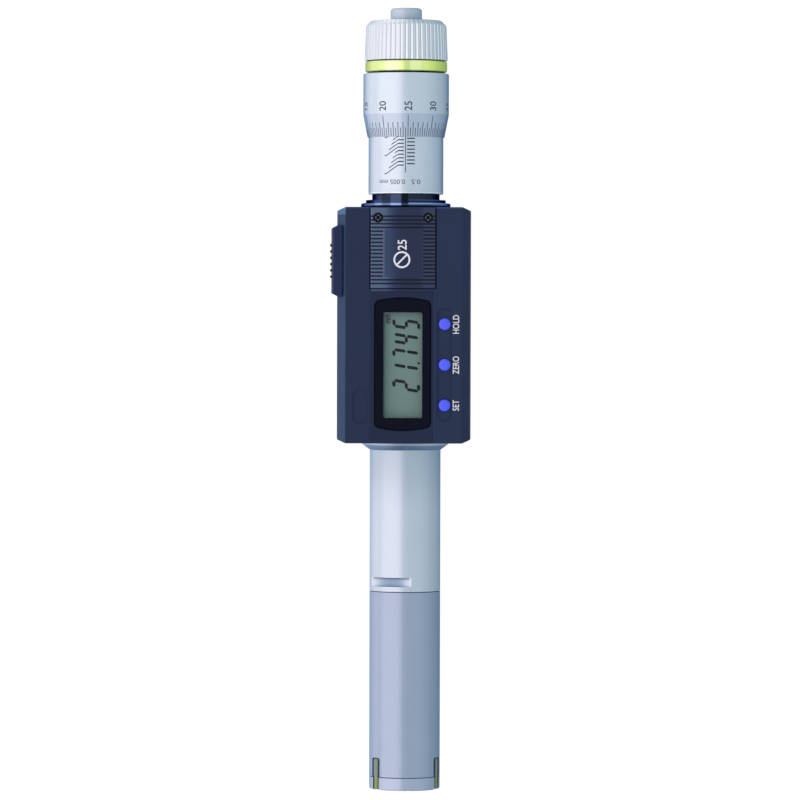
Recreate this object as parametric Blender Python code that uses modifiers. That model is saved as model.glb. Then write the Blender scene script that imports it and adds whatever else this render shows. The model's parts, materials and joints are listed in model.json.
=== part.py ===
"""Digital three-point inside micrometer, for bores from 20 mm up.

It lies on the flat back of its housing. The origin is the middle of that back, under the spindle.
X runs across the housing, Y along the spindle towards the thimble, and Z up through the display.
Stations are places along the spindle, measured from the middle of the housing.
"""
import math

import bmesh
import bpy

MM = 0.001
WELD = 0.001 * MM

# Clearances
GAP = 0.3 * MM
SEAM = 0.15 * MM
SLEEVE_FIT = 0.13 * MM
CUT = 3.0 * MM

# Spindle line and feed
FEED = 5.0 * MM
CONE_RISE = 0.5
SPINDLE_RADIUS = 3.2 * MM
ROD_RADIUS = 2.6 * MM
BALL_RADIUS = 2.0 * MM
SPINDLE_OVERHANG = 2.35 * MM

# Housing
HOUSING_LENGTH = 64.4 * MM
HOUSING_LEFT = 18.7 * MM
HOUSING_RIGHT = 17.8 * MM
CORNER_ACROSS = 2.3 * MM
CORNER_ALONG = 1.0 * MM
BAND_STEP = 0.35 * MM
BAND_LEFT = 9.5 * MM
BAND_RIGHT = 8.03 * MM
CHAMFER_LEFT = 2.3 * MM
CHAMFER_RIGHT = 2.5 * MM
WALL = 2.4 * MM
BOSS = 4.4 * MM
BOSS_DRAFT = 0.8 * MM
COVER_THICKNESS = 4.7 * MM
COVER_FLOOR = 2.2 * MM

# Back screws
BACK_SCREW_INSET = 5.0 * MM
BACK_SCREW_HEAD_RADIUS = 1.9 * MM
BACK_SCREW_HEAD_HEIGHT = 1.3 * MM
BACK_SCREW_SINK = 0.4 * MM
BACK_SCREW_SHANK_RADIUS = 0.9 * MM
BACK_SCREW_LENGTH = 9.0 * MM

# Grip plate and its screws
PLATE_LENGTH = 21.9 * MM
PLATE_END_MARGIN = 0.2 * MM
PLATE_THICKNESS = 1.1 * MM
PLATE_SIDE_GAP = 0.4 * MM
PLATE_LIP = 0.8 * MM
RIB_PITCH = 1.017 * MM
RIB_GROOVE = 0.45 * MM
RIB_DEPTH = 0.35 * MM
RIB_COUNT = 19
RIB_START = 2.35 * MM
PAD_FIRST_RIB = 4
PAD_RIBS = 13
PAD_LEFT_MARGIN = 3.3 * MM
PAD_RIGHT_MARGIN = 3.3 * MM
PLATE_SCREW_INSET = 1.95 * MM
PLATE_SCREW_DROP = 2.7 * MM
PLATE_SCREW_BORE = 1.42 * MM
PLATE_SCREW_HEAD = 1.05 * MM
PLATE_SCREW_HEAD_HEIGHT = 0.45 * MM
PLATE_SCREW_SINK = 0.65 * MM
PLATE_SCREW_SHANK = 0.6 * MM
PLATE_SCREW_LENGTH = 3.2 * MM

# Display
WINDOW_LEFT = 8.3 * MM
WINDOW_RIGHT = 6.75 * MM
WINDOW_MARGIN = 3.65 * MM
WINDOW_TO_PLATE = 2.75 * MM
WINDOW_BOW = 0.7 * MM
WINDOW_CORNER = 1.6 * MM
BEZEL_THICKNESS = 0.8 * MM
GLASS_THICKNESS = 0.6 * MM
LCD_LEFT_MARGIN = 2.25 * MM
LCD_RIGHT_MARGIN = 2.2 * MM
LCD_LOW_MARGIN = 3.3 * MM
LCD_HIGH_MARGIN = 3.8 * MM
LCD_OVERLAP = 0.8 * MM
BOARD_THICKNESS = 1.2 * MM
BOARD_CLEARANCE = 1.9 * MM

# Buttons and the recess round them
BUTTON_X = 10.65 * MM
BUTTON_RADIUS = 1.65 * MM
BUTTON_DOME = 0.55 * MM
BUTTON_TRAVEL = 0.5 * MM
BUTTON_FLANGE = 0.6 * MM
BUTTON_HIGH_MARGIN = 7.05 * MM
BUTTON_LOW_MARGIN = 6.75 * MM
BUTTON_NAMES = ("hold_button", "zero_button", "set_button")
KEY_HALF_WIDTH = 1.9 * MM
KEY_END = 4.55 * MM
KEY_SINK = 0.4 * MM
POCKET_LEFT = 14.4 * MM
POCKET_WIDTH = 4.1 * MM
POCKET_LENGTH = 9.6 * MM
POCKET_MARGIN = 5.3 * MM
POCKET_DEPTH = 0.3 * MM

# Battery and its ribbed cover
BATTERY_RADIUS = 5.8 * MM
BATTERY_THICKNESS = 5.4 * MM
BATTERY_FROM_END = 14.7 * MM
TRAY_WALL = 0.7 * MM
COVER_PROUD = 1.6 * MM
BATTERY_COVER_LENGTH = 19.4 * MM
BATTERY_COVER_BOTTOM = 8.0 * MM
GRIP_RIB_PITCH = 1.72 * MM
GRIP_RIB_RADIUS = 0.4 * MM
GRIP_RIB_COUNT = 6

# Frame tube and measuring head
TUBE_RADIUS = 9.75 * MM
TUBE_BORE = 4.8 * MM
TUBE_LENGTH = 40.9 * MM
FLANGE_RADIUS = 12.35 * MM
FLANGE_LENGTH = 1.95 * MM
SPIGOT_RADIUS = 7.3 * MM
SPIGOT_LENGTH = 7.2 * MM
TUBE_NUT_HEIGHT = 3.0 * MM
TUBE_NUT_WALL = 1.7 * MM
FLAT_ACROSS = 15.0 * MM
FLAT_LENGTH = 2.5 * MM
FLAT_FROM_END = 1.4 * MM
FLAT_AZIMUTH = -29.0
HEAD_LENGTH = 50.85 * MM
HEAD_SPIGOT_RADIUS = 6.0 * MM
HEAD_SPIGOT_LENGTH = 9.6 * MM
END_PLATE_THICKNESS = 3.3 * MM
END_EDGE = 0.35 * MM
ROD_COLLAR_RADIUS = 4.4 * MM
ROD_COLLAR_HEIGHT = 3.0 * MM
ROD_COLLAR_RISE = 35.1 * MM
SPRING_WIRE = 0.3 * MM
SPRING_TURNS = 5

# Cone and anvils
CONE_VERTEX_DEPTH = 6.8 * MM
CONE_TIP_RADIUS = 0.7 * MM
CONE_WALL = 1.05 * MM
CONE_LAND = 2.0 * MM
CONE_SOCKET_DEPTH = 4.0 * MM
TIP_PROUD = 0.25 * MM
TIP_DEPTH = 0.9 * MM
TIP_WIDTH = 1.5 * MM
ANVIL_AZIMUTHS = (-54.0, 66.0, 186.0)
FOOT_WIDTH = 3.2 * MM
FOOT_RADIUS = 4.8 * MM
FOOT_HEIGHT = 5.8 * MM
FOOT_TOP_DEPTH = 10.6 * MM
ARM_WIDTH = 3.0 * MM
ARM_NARROW_WIDTH = 2.2 * MM
ARM_TOP_DEPTH = 4.7 * MM
ARM_INNER_RADIUS = 2.5 * MM
ARM_END_INSET = 0.2 * MM
PLATE_SLOT_SIDE = 0.2 * MM
RING_SPRING_WIRE = 0.35 * MM
RING_GROOVE_DEPTH = 1.6 * MM
RING_SPRING_INSET = 0.6 * MM
END_SCREW_MARGIN = 1.65 * MM
END_SCREW_HEAD = 1.1 * MM
END_SCREW_HEAD_HEIGHT = 0.9 * MM
END_SCREW_SHANK = 0.55 * MM
END_SCREW_LENGTH = 6.0 * MM

# Collar, sleeve and thimble
COLLAR_FLANGE_HEIGHT = 1.2 * MM
COLLAR_STEP_RADIUS = 11.02 * MM
COLLAR_STEP_HEIGHT = 0.85 * MM
COLLAR_NECK_RADIUS = 9.3 * MM
COLLAR_NECK_HEIGHT = 1.5 * MM
INNER_SLEEVE_SHANK = 6.0 * MM
INNER_SLEEVE_WALL = 5.0 * MM
INNER_SLEEVE_LENGTH = 24.0 * MM
INNER_SHANK_LENGTH = 20.0 * MM
SLEEVE_WALL = 1.5 * MM
SLEEVE_LENGTH = 24.0 * MM
SLEEVE_SHOWING = 15.6 * MM
THIMBLE_RADIUS = 11.8 * MM
THIMBLE_LENGTH = 17.5 * MM
THIMBLE_TAPER = 6.2 * MM
THIMBLE_LIP = 0.14 * MM
THIMBLE_END_WALL = 3.2 * MM
THIMBLE_BOSS_RADIUS = 8.0 * MM
RING_RADIUS = 11.3 * MM
RING_HEIGHT = 3.05 * MM
RING_GROOVE = 0.4 * MM
DRUM_RADIUS = 11.45 * MM
DRUM_TOP_RADIUS = 11.1 * MM
DRUM_CROWN_RADIUS = 9.7 * MM
DRUM_LENGTH = 9.4 * MM
DRUM_CROWN_HEIGHT = 1.6 * MM
DRUM_WALL = 2.3 * MM
FLUTES = 50
FLUTE_DEPTH = 0.4 * MM
FLUTE_POINTS = 3
STUB_RADIUS = 2.3 * MM
KNOB_RADIUS = 4.35 * MM
KNOB_HEIGHT = 3.15 * MM
KNOB_CHAMFER = 0.55 * MM
WHEEL_RADIUS = 5.4 * MM
WHEEL_HEIGHT = 2.6 * MM
WHEEL_TEETH = 12
PAWL_WIRE = 0.35 * MM

# Encoder
ENCODER_RADIUS = 9.9 * MM
ENCODER_CLEARANCE = 1.4 * MM
ENCODER_WALL = 1.5 * MM
ENCODER_LENGTH = 34.0 * MM
ENCODER_END_WALL = 3.0 * MM
ROTOR_DEPTH = 7.35 * MM
ROTOR_HEIGHT = 3.0 * MM
STATOR_HEIGHT = 3.0 * MM
SLEEVE_NUT_HEIGHT = 3.2 * MM

# Segments of turned pieces
FINE_SEGMENTS = 36
PLAIN_SEGMENTS = 16
SMALL_SEGMENTS = 10
COIL_STEPS = 8
ARC_STEPS = 3

# Places worked out from the sizes above
HOUSING_END = HOUSING_LENGTH / 2
HOUSING_BOTTOM = COVER_THICKNESS + SEAM * 2
AXIS_HEIGHT = COVER_FLOOR + ENCODER_CLEARANCE + ENCODER_RADIUS
BOARD_TOP = AXIS_HEIGHT + ENCODER_RADIUS + BOARD_CLEARANCE + BOARD_THICKNESS
BUTTON_BOTTOM = BOARD_TOP + BUTTON_TRAVEL + GAP
CAVITY_TOP = BUTTON_BOTTOM + BUTTON_FLANGE + SEAM
SIDE_HEIGHT = CAVITY_TOP + WALL - GAP
FRONT_HEIGHT = SIDE_HEIGHT + BAND_STEP
TUBE_TOP = -HOUSING_END - SEAM
TUBE_BOTTOM = -HOUSING_END - TUBE_LENGTH
HEAD_TOP = TUBE_BOTTOM - SEAM
HEAD_BOTTOM = HEAD_TOP - HEAD_LENGTH
END_PLATE_TOP = HEAD_BOTTOM - GAP
END_FACE = END_PLATE_TOP - END_PLATE_THICKNESS
TIP_RADIUS = TUBE_RADIUS + TIP_PROUD
END_SCREW_CIRCLE = TUBE_RADIUS - END_SCREW_MARGIN
CONE_RADIUS = END_SCREW_CIRCLE - END_SCREW_SHANK - GAP - CONE_WALL
CONE_VERTEX = END_FACE + CONE_VERTEX_DEPTH
CONE_TIP = CONE_VERTEX + CONE_TIP_RADIUS / CONE_RISE
CONE_SHOULDER = CONE_VERTEX + CONE_RADIUS / CONE_RISE
CONE_TOP = CONE_SHOULDER + CONE_LAND
FOOT_TOP = HEAD_BOTTOM + FOOT_TOP_DEPTH
FOOT_BOTTOM = FOOT_TOP - FOOT_HEIGHT
ARM_TOP = HEAD_BOTTOM + ARM_TOP_DEPTH
COLLAR_BOTTOM = HOUSING_END + SEAM
COLLAR_TOP = COLLAR_BOTTOM + COLLAR_FLANGE_HEIGHT + COLLAR_STEP_HEIGHT + COLLAR_NECK_HEIGHT
SLEEVE_BOTTOM = COLLAR_TOP + SEAM
INNER_SLEEVE_RADIUS = SPINDLE_RADIUS + GAP + INNER_SLEEVE_WALL
SLEEVE_BORE = INNER_SLEEVE_RADIUS + GAP
SLEEVE_RADIUS = SLEEVE_BORE + SLEEVE_WALL
THIMBLE_BORE = SLEEVE_RADIUS + SLEEVE_FIT
THIMBLE_EDGE = SLEEVE_BOTTOM + SLEEVE_SHOWING
THIMBLE_TOP = THIMBLE_EDGE + THIMBLE_LENGTH
RING_BOTTOM = THIMBLE_TOP + RING_GROOVE
RING_TOP = RING_BOTTOM + RING_HEIGHT
DRUM_BOTTOM = RING_TOP + SEAM
DRUM_CREST = DRUM_BOTTOM + DRUM_LENGTH
DRUM_TOP = DRUM_CREST + DRUM_CROWN_HEIGHT
KNOB_BOTTOM = DRUM_TOP + GAP
KNOB_TOP = KNOB_BOTTOM + KNOB_HEIGHT
PLATE_HIGH = HOUSING_END - PLATE_END_MARGIN
PLATE_LOW = PLATE_HIGH - PLATE_LENGTH
WINDOW_LOW = -HOUSING_END + WINDOW_MARGIN
WINDOW_HIGH = PLATE_LOW - WINDOW_TO_PLATE
LCD_LEFT = WINDOW_LEFT - LCD_LEFT_MARGIN
LCD_RIGHT = WINDOW_RIGHT - LCD_RIGHT_MARGIN
LCD_LOW = WINDOW_LOW + LCD_LOW_MARGIN
LCD_HIGH = WINDOW_HIGH - LCD_HIGH_MARGIN
BEZEL_TOP = FRONT_HEIGHT
BEZEL_BOTTOM = BEZEL_TOP - BEZEL_THICKNESS
GLASS_TOP = BEZEL_BOTTOM - SEAM
WINDOW_FLOOR = GLASS_TOP - GLASS_THICKNESS - SEAM
LCD_TOP = WINDOW_FLOOR - SEAM
BATTERY_STATION = HOUSING_END - BATTERY_FROM_END
TRAY_BORE = BATTERY_RADIUS + GAP
TRAY_RADIUS = TRAY_BORE + TRAY_WALL
KEY_FLOOR = SIDE_HEIGHT - KEY_SINK
BUTTON_HIGH = WINDOW_HIGH - BUTTON_HIGH_MARGIN
BUTTON_LOW = WINDOW_LOW + BUTTON_LOW_MARGIN
BUTTON_STATIONS = (BUTTON_HIGH, (BUTTON_HIGH + BUTTON_LOW) / 2, BUTTON_LOW)
ENCODER_TOP = HOUSING_END - WALL - SEAM
ENCODER_LOW = ENCODER_TOP - ENCODER_LENGTH
ROTOR_STATION = ENCODER_LOW + ROTOR_DEPTH
SPINDLE_END = ENCODER_LOW + SPINDLE_OVERHANG
ROD_TOP = SPINDLE_END - 2 * (BALL_RADIUS + GAP)
ROD_COLLAR_STATION = TUBE_BOTTOM + ROD_COLLAR_RISE


def clear_scene():
    for old in list(bpy.data.objects):
        bpy.data.objects.remove(old, do_unlink=True)


def new_collection(name):
    made = bpy.data.collections.new(name)
    bpy.context.scene.collection.children.link(made)
    return made


def new_finish(name, colour, roughness, metallic=0.0):
    made = bpy.data.materials.new(name)
    made.use_nodes = True
    shader = made.node_tree.nodes["Principled BSDF"]
    shader.inputs["Base Color"].default_value = (*colour, 1.0)
    shader.inputs["Roughness"].default_value = roughness
    shader.inputs["Metallic"].default_value = metallic
    return made


def add_object(name, mesh, finish):
    """An object for a mesh: a part with a finish, or a cutter without one."""
    made = bpy.data.objects.new(name, mesh)
    if finish is None:
        CUTTERS.objects.link(made)
        made.hide_render = True
        made.display_type = "WIRE"
    else:
        PARTS.objects.link(made)
        mesh.materials.append(finish)
    return made


def around_spindle(made, azimuth=90.0):
    """Stand an object's own Z along the spindle, and turn its own X to the azimuth.

    An azimuth is in degrees from straight up, positive towards +X.
    """
    made.location = (0.0, 0.0, AXIS_HEIGHT)
    made.rotation_euler = (math.radians(-90.0), math.radians(azimuth - 90.0), 0.0)
    return made


def taken_from(made):
    """The mesh that an object shows, as data of its own."""
    bpy.context.view_layer.update()
    seen = made.evaluated_get(bpy.context.evaluated_depsgraph_get())
    return bpy.data.meshes.new_from_object(seen)


def smooth(mesh):
    mesh.shade_smooth()
    mesh.set_sharp_from_angle(angle=math.radians(32.0))


def flatten_caps(mesh):
    """Make one face of each flat end, in place of the fan of triangles round its middle."""
    form = bmesh.new()
    form.from_mesh(mesh)
    middles = [v for v in form.verts if math.hypot(v.co.x, v.co.y) < WELD]
    flat = [v for v in middles if all(abs(f.normal.z) > 0.999 for f in v.link_faces)]
    bmesh.ops.dissolve_verts(form, verts=flat)
    form.to_mesh(mesh)
    form.free()


def turned(name, outline, finish=None, segments=PLAIN_SEGMENTS, bored=False):
    """A turned piece: (radius, station) points from its top, down the outer side, and up any bore."""
    sketch = bpy.data.meshes.new(name + "_outline")
    edges = [(i, i + 1) for i in range(len(outline) - 1)]
    if bored:
        edges.append((len(outline) - 1, 0))
    sketch.from_pydata([(radius, 0.0, station) for radius, station in outline], edges, [])
    blank = bpy.data.objects.new(name + "_outline", sketch)
    bpy.context.scene.collection.objects.link(blank)
    screw = blank.modifiers.new("Turning", "SCREW")
    screw.axis = "Z"
    screw.steps = segments
    screw.render_steps = segments
    screw.use_merge_vertices = True
    screw.merge_threshold = WELD
    mesh = taken_from(blank)
    bpy.data.objects.remove(blank, do_unlink=True)
    flatten_caps(mesh)
    smooth(mesh)
    return around_spindle(add_object(name, mesh, finish))


def prism(name, outline, low, high, axis, finish=None):
    """An outline drawn across an axis and drawn out along it, from low to high."""
    curve = bpy.data.curves.new(name + "_outline", "CURVE")
    curve.dimensions = "2D"
    curve.fill_mode = "BOTH"
    curve.extrude = (high - low) / 2
    spline = curve.splines.new("POLY")
    spline.points.add(len(outline) - 1)
    for point, (u, v) in zip(spline.points, outline):
        point.co = (u, v, 0.0, 1.0)
    spline.use_cyclic_u = True
    sketch = bpy.data.objects.new(name + "_outline", curve)
    bpy.context.scene.collection.objects.link(sketch)
    mesh = taken_from(sketch)
    bpy.data.objects.remove(sketch, do_unlink=True)
    form = bmesh.new()
    form.from_mesh(mesh)
    bmesh.ops.remove_doubles(form, verts=form.verts, dist=WELD)
    bmesh.ops.dissolve_limit(form, angle_limit=0.001, verts=form.verts, edges=form.edges)
    for vert in form.verts:
        u, v, w = vert.co.x, vert.co.y, vert.co.z + (low + high) / 2
        vert.co = {"X": (w, u, v), "Y": (u, w, v), "Z": (u, v, w)}[axis]
    bmesh.ops.recalc_face_normals(form, faces=form.faces)
    form.to_mesh(mesh)
    form.free()
    smooth(mesh)
    return add_object(name, mesh, finish)


def block(name, low, high, finish=None):
    """A box between two corners, with its origin in its middle."""
    form = bmesh.new()
    bmesh.ops.create_cube(form, size=1.0)
    for vert in form.verts:
        for i in range(3):
            vert.co[i] *= high[i] - low[i]
    mesh = bpy.data.meshes.new(name)
    form.to_mesh(mesh)
    form.free()
    made = add_object(name, mesh, finish)
    made.location = [(low[i] + high[i]) / 2 for i in range(3)]
    return made


def boolean(made, tool, operation):
    step = made.modifiers.new(operation.title() + " " + tool.name, "BOOLEAN")
    step.operation = operation
    step.object = tool
    step.solver = "EXACT"


def cut(made, *tools):
    for tool in tools:
        boolean(made, tool, "DIFFERENCE")
    return made


def joined(made, *tools):
    for tool in tools:
        boolean(made, tool, "UNION")
    return made


def rounded(made, width, segments=2, angle=40.0):
    step = made.modifiers.new("Edges", "BEVEL")
    step.width = width
    step.segments = segments
    step.limit_method = "ANGLE"
    step.angle_limit = math.radians(angle)
    return made


def arc(centre, radius, start, end, steps):
    """Points round an arc, from one angle to another in degrees."""
    angles = [math.radians(start + (end - start) * i / steps) for i in range(steps + 1)]
    return [(centre[0] + radius * math.cos(a), centre[1] + radius * math.sin(a)) for a in angles]


def round_box(left, right, low, high, radius, steps=4):
    return (
        arc((right - radius, high - radius), radius, 0, 90, steps)
        + arc((left + radius, high - radius), radius, 90, 180, steps)
        + arc((left + radius, low + radius), radius, 180, 270, steps)
        + arc((right - radius, low + radius), radius, 270, 360, steps)
    )


def bored_cylinder(name, radius, bore, low, high, finish, segments=PLAIN_SEGMENTS):
    return turned(name, [(radius, high), (radius, low), (bore, low), (bore, high)], finish, segments, True)


def pin(name, radius, low, high, finish=None, segments=PLAIN_SEGMENTS):
    return turned(name, [(0.0, high), (radius, high), (radius, low), (0.0, low)], finish, segments)


def stepped_hole(name, upper, lower, low, step, high):
    """A cutter for a screw's hole and sink: one radius above the step and another below it."""
    outline = [(0.0, high), (upper, high), (upper, step), (lower, step), (lower, low), (0.0, low)]
    return turned(name, outline, None, SMALL_SEGMENTS)


def upright(made, x, y, z=0.0):
    """Stand a turned piece on the Z axis at a place of its own."""
    made.location = (x, y, z)
    made.rotation_euler = (0.0, 0.0, 0.0)
    return made


def housing_plan(inset=0.0):
    """The housing seen from the front: a rectangle with its corners sloped off."""
    left, right, end = -HOUSING_LEFT + inset, HOUSING_RIGHT - inset, HOUSING_END - inset
    return [
        (right, end - CORNER_ALONG), (right - CORNER_ACROSS, end),
        (left + CORNER_ACROSS, end), (left, end - CORNER_ALONG),
        (left, -end + CORNER_ALONG), (left + CORNER_ACROSS, -end),
        (right - CORNER_ACROSS, -end), (right, -end + CORNER_ALONG),
    ]


def cavity_plan():
    """The hollow of the housing, with its four corners left solid for the screws."""
    left, right, end = -HOUSING_LEFT + WALL, HOUSING_RIGHT - WALL, HOUSING_END - WALL
    near, far = BOSS, BOSS + BOSS_DRAFT
    return [
        (right, end - far), (right - near, end - near), (right - far, end),
        (left + far, end), (left + near, end - near), (left, end - far),
        (left, -end + far), (left + near, -end + near), (left + far, -end),
        (right - far, -end), (right - near, -end + near), (right, -end + far),
    ]


def back_screw_places():
    xs = (-HOUSING_LEFT + BACK_SCREW_INSET, HOUSING_RIGHT - BACK_SCREW_INSET)
    ys = (-HOUSING_END + BACK_SCREW_INSET, HOUSING_END - BACK_SCREW_INSET)
    return [(x, y) for y in ys for x in xs]


def plate_screw_places():
    y = HOUSING_END - PLATE_SCREW_DROP - PLATE_END_MARGIN
    return [(-BAND_LEFT + PLATE_SCREW_INSET, y), (BAND_RIGHT - PLATE_SCREW_INSET, y)]


def window_plan(inset=0.0):
    """The display window: its ends bow outwards and its corners are round."""
    left, right = -WINDOW_LEFT + inset, WINDOW_RIGHT - inset
    low, high = WINDOW_LOW + inset, WINDOW_HIGH - inset
    shoulder, radius = WINDOW_BOW, WINDOW_CORNER
    middle = (left + right) / 2

    def bow(sign):
        span = right - left - 2 * radius
        steps = [i / 3 - 1 for i in range(1, 6)]
        return [(middle + t * span / 2 * sign, shoulder * (1 - t * t)) for t in steps]

    top = [(x, high - shoulder + rise) for x, rise in bow(-1)]
    bottom = [(x, low + shoulder - rise) for x, rise in bow(1)]
    return (
        arc((right - radius, high - shoulder - radius), radius, 0, 90, ARC_STEPS) + top
        + arc((left + radius, high - shoulder - radius), radius, 90, 180, ARC_STEPS)
        + arc((left + radius, low + shoulder + radius), radius, 180, 270, ARC_STEPS) + bottom
        + arc((right - radius, low + shoulder + radius), radius, 270, 360, ARC_STEPS)
    )


def key_plan():
    half = KEY_HALF_WIDTH
    low = BUTTON_STATIONS[-1] - KEY_END
    high = BUTTON_STATIONS[0] + KEY_END
    return round_box(BUTTON_X - half, BUTTON_X + half, low, high, half * 0.999, 5)


def make_housing_front():
    section = [
        (HOUSING_RIGHT, HOUSING_BOTTOM),
        (HOUSING_RIGHT, SIDE_HEIGHT - CHAMFER_RIGHT),
        (HOUSING_RIGHT - CHAMFER_RIGHT - BAND_STEP, FRONT_HEIGHT),
        (-HOUSING_LEFT + CHAMFER_LEFT + BAND_STEP, FRONT_HEIGHT),
        (-HOUSING_LEFT, SIDE_HEIGHT - CHAMFER_LEFT),
        (-HOUSING_LEFT, HOUSING_BOTTOM),
    ]
    front = prism("housing_front", section, -HOUSING_END, HOUSING_END, "Y", NAVY)
    for x_sign, side in ((-1, HOUSING_LEFT), (1, HOUSING_RIGHT)):
        for y_sign in (-1, 1):
            far_x, far_y = x_sign * (side + CUT), y_sign * (HOUSING_END + CUT)
            slope = CORNER_ALONG / CORNER_ACROSS
            wedge = [
                (x_sign * (side + CUT), y_sign * (HOUSING_END - CORNER_ALONG - CUT * slope)),
                (x_sign * (side - CORNER_ACROSS - CUT), y_sign * (HOUSING_END + CUT * slope)),
                (far_x, far_y),
            ]
            cut(front, prism("corner_cut", wedge, 0.0, FRONT_HEIGHT + CUT, "Z"))
    rounded(front, 0.35 * MM)
    top = FRONT_HEIGHT + CUT
    far = HOUSING_LENGTH
    cut(front, block("left_step", (-far, -far, SIDE_HEIGHT), (-BAND_LEFT, far, top)))
    cut(front, block("right_step", (BAND_RIGHT, -far, SIDE_HEIGHT), (far, far, top)))
    cut(front, prism("cavity", cavity_plan(), HOUSING_BOTTOM - CUT, CAVITY_TOP, "Z"))
    plate_floor = FRONT_HEIGHT - PLATE_THICKNESS - SEAM
    cut(front, block(
        "plate_seat",
        (-BAND_LEFT - PLATE_SIDE_GAP, PLATE_LOW - GAP, plate_floor),
        (BAND_RIGHT + PLATE_SIDE_GAP, far, top),
    ))
    lip = [
        (PLATE_LOW - GAP - PLATE_LIP, FRONT_HEIGHT), (PLATE_LOW - GAP - PLATE_LIP, top),
        (PLATE_LOW + CUT, top), (PLATE_LOW + CUT, FRONT_HEIGHT - PLATE_LIP / 2),
        (PLATE_LOW - GAP, FRONT_HEIGHT - PLATE_LIP / 2),
    ]
    cut(front, prism("plate_lip", lip, -far, far, "X"))
    cut(front, prism("window_seat", window_plan(-GAP), WINDOW_FLOOR, top, "Z"))
    cut(front, block(
        "lcd_opening",
        (-LCD_LEFT - LCD_OVERLAP - GAP, LCD_LOW - LCD_OVERLAP - GAP, CAVITY_TOP - CUT),
        (LCD_RIGHT + LCD_OVERLAP + GAP, LCD_HIGH + LCD_OVERLAP + GAP, WINDOW_FLOOR + CUT / 3),
    ))
    cut(front, prism("key_seat", key_plan(), KEY_FLOOR, top, "Z"))
    pocket_low = -HOUSING_END + POCKET_MARGIN
    pocket = round_box(
        -POCKET_LEFT, -POCKET_LEFT + POCKET_WIDTH, pocket_low, pocket_low + POCKET_LENGTH,
        POCKET_WIDTH * 0.4995, 5,
    )
    cut(front, prism("pocket", pocket, SIDE_HEIGHT - POCKET_DEPTH, top, "Z"))
    for y in BUTTON_STATIONS:
        cut(front, upright(pin("button_hole", BUTTON_RADIUS + SEAM, CAVITY_TOP - CUT, top), BUTTON_X, y))
    for x, y in plate_screw_places():
        hole = pin("plate_screw_hole", PLATE_SCREW_SHANK + GAP, CAVITY_TOP - CUT, top, None, SMALL_SEGMENTS)
        cut(front, upright(hole, x, y))
    for x, y in back_screw_places():
        deep = BACK_SCREW_LENGTH + CUT
        hole = pin("back_screw_hole", BACK_SCREW_SHANK_RADIUS + GAP, 0.0, deep, None, SMALL_SEGMENTS)
        cut(front, upright(hole, x, y))
    bore = SPIGOT_RADIUS + GAP
    cut(front, pin("tube_hole", bore, TUBE_TOP - CUT, -HOUSING_END + WALL + CUT))
    cut(front, pin("collar_hole", bore, HOUSING_END - WALL - CUT, COLLAR_BOTTOM + CUT))
    tray_hole = pin("tray_hole", TRAY_RADIUS + GAP, -CUT, WALL + CUT)
    tray_hole.location = (-HOUSING_LEFT, BATTERY_STATION, AXIS_HEIGHT)
    tray_hole.rotation_euler = (0.0, math.radians(90.0), 0.0)
    cut(front, tray_hole)


def make_back_cover():
    cover = prism("back_cover", housing_plan(), 0.0, COVER_THICKNESS, "Z", NAVY)
    rounded(cover, 0.6 * MM)
    cut(cover, prism("cover_cavity", cavity_plan(), COVER_FLOOR, COVER_THICKNESS + CUT, "Z"))
    sink = BACK_SCREW_SINK + BACK_SCREW_HEAD_HEIGHT + GAP
    for x, y in back_screw_places():
        hole = stepped_hole(
            "cover_hole", BACK_SCREW_SHANK_RADIUS + GAP, BACK_SCREW_HEAD_RADIUS + GAP,
            -CUT, sink, COVER_THICKNESS + CUT,
        )
        cut(cover, upright(hole, x, y))


def cross_recess(radius, low, azimuth):
    """Two crossed bars that cut the recess of a cross-head screw."""
    bars = []
    for quarter in (0.0, 90.0):
        half = radius * 0.2
        bar = block("cross_recess", (-radius * 0.72, -half, low), (radius * 0.72, half, CUT))
        bar.rotation_euler.z = math.radians(azimuth + quarter)
        bars.append(bar)
    return bars


def hexagon_recess(radius, low, azimuth):
    """The hexagon that cuts the recess of a socket screw."""
    hexagon = pin("hexagon_recess", radius * 0.55, low, CUT, None, 6)
    upright(hexagon, 0.0, 0.0)
    hexagon.rotation_euler.z = math.radians(azimuth)
    return [hexagon]


def make_screw(name, head, head_height, shank, length, recess, azimuth, place, rotation):
    """A screw with its head's top at its own origin and its shank below, set in its place."""
    outline = [
        (0.0, 0.0), (head * 0.7, -head_height * 0.05), (head, -head_height * 0.3),
        (head, -head_height), (shank, -head_height), (shank, -length), (0.0, -length),
    ]
    screw = turned(name, outline, STEEL, SMALL_SEGMENTS)
    screw.location = place
    screw.rotation_euler = rotation
    for tool in recess(head, -head_height * 0.55, azimuth):
        middle = tool.location.copy()
        tool.parent = screw
        tool.location = middle
        cut(screw, tool)


def make_back_screws():
    for i, (x, y) in enumerate(back_screw_places(), 1):
        make_screw(
            f"back_screw_{i}", BACK_SCREW_HEAD_RADIUS, BACK_SCREW_HEAD_HEIGHT,
            BACK_SCREW_SHANK_RADIUS, BACK_SCREW_LENGTH, hexagon_recess, 20.0 * i,
            (x, y, BACK_SCREW_SINK), (math.radians(180.0), 0.0, 0.0),
        )


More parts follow.
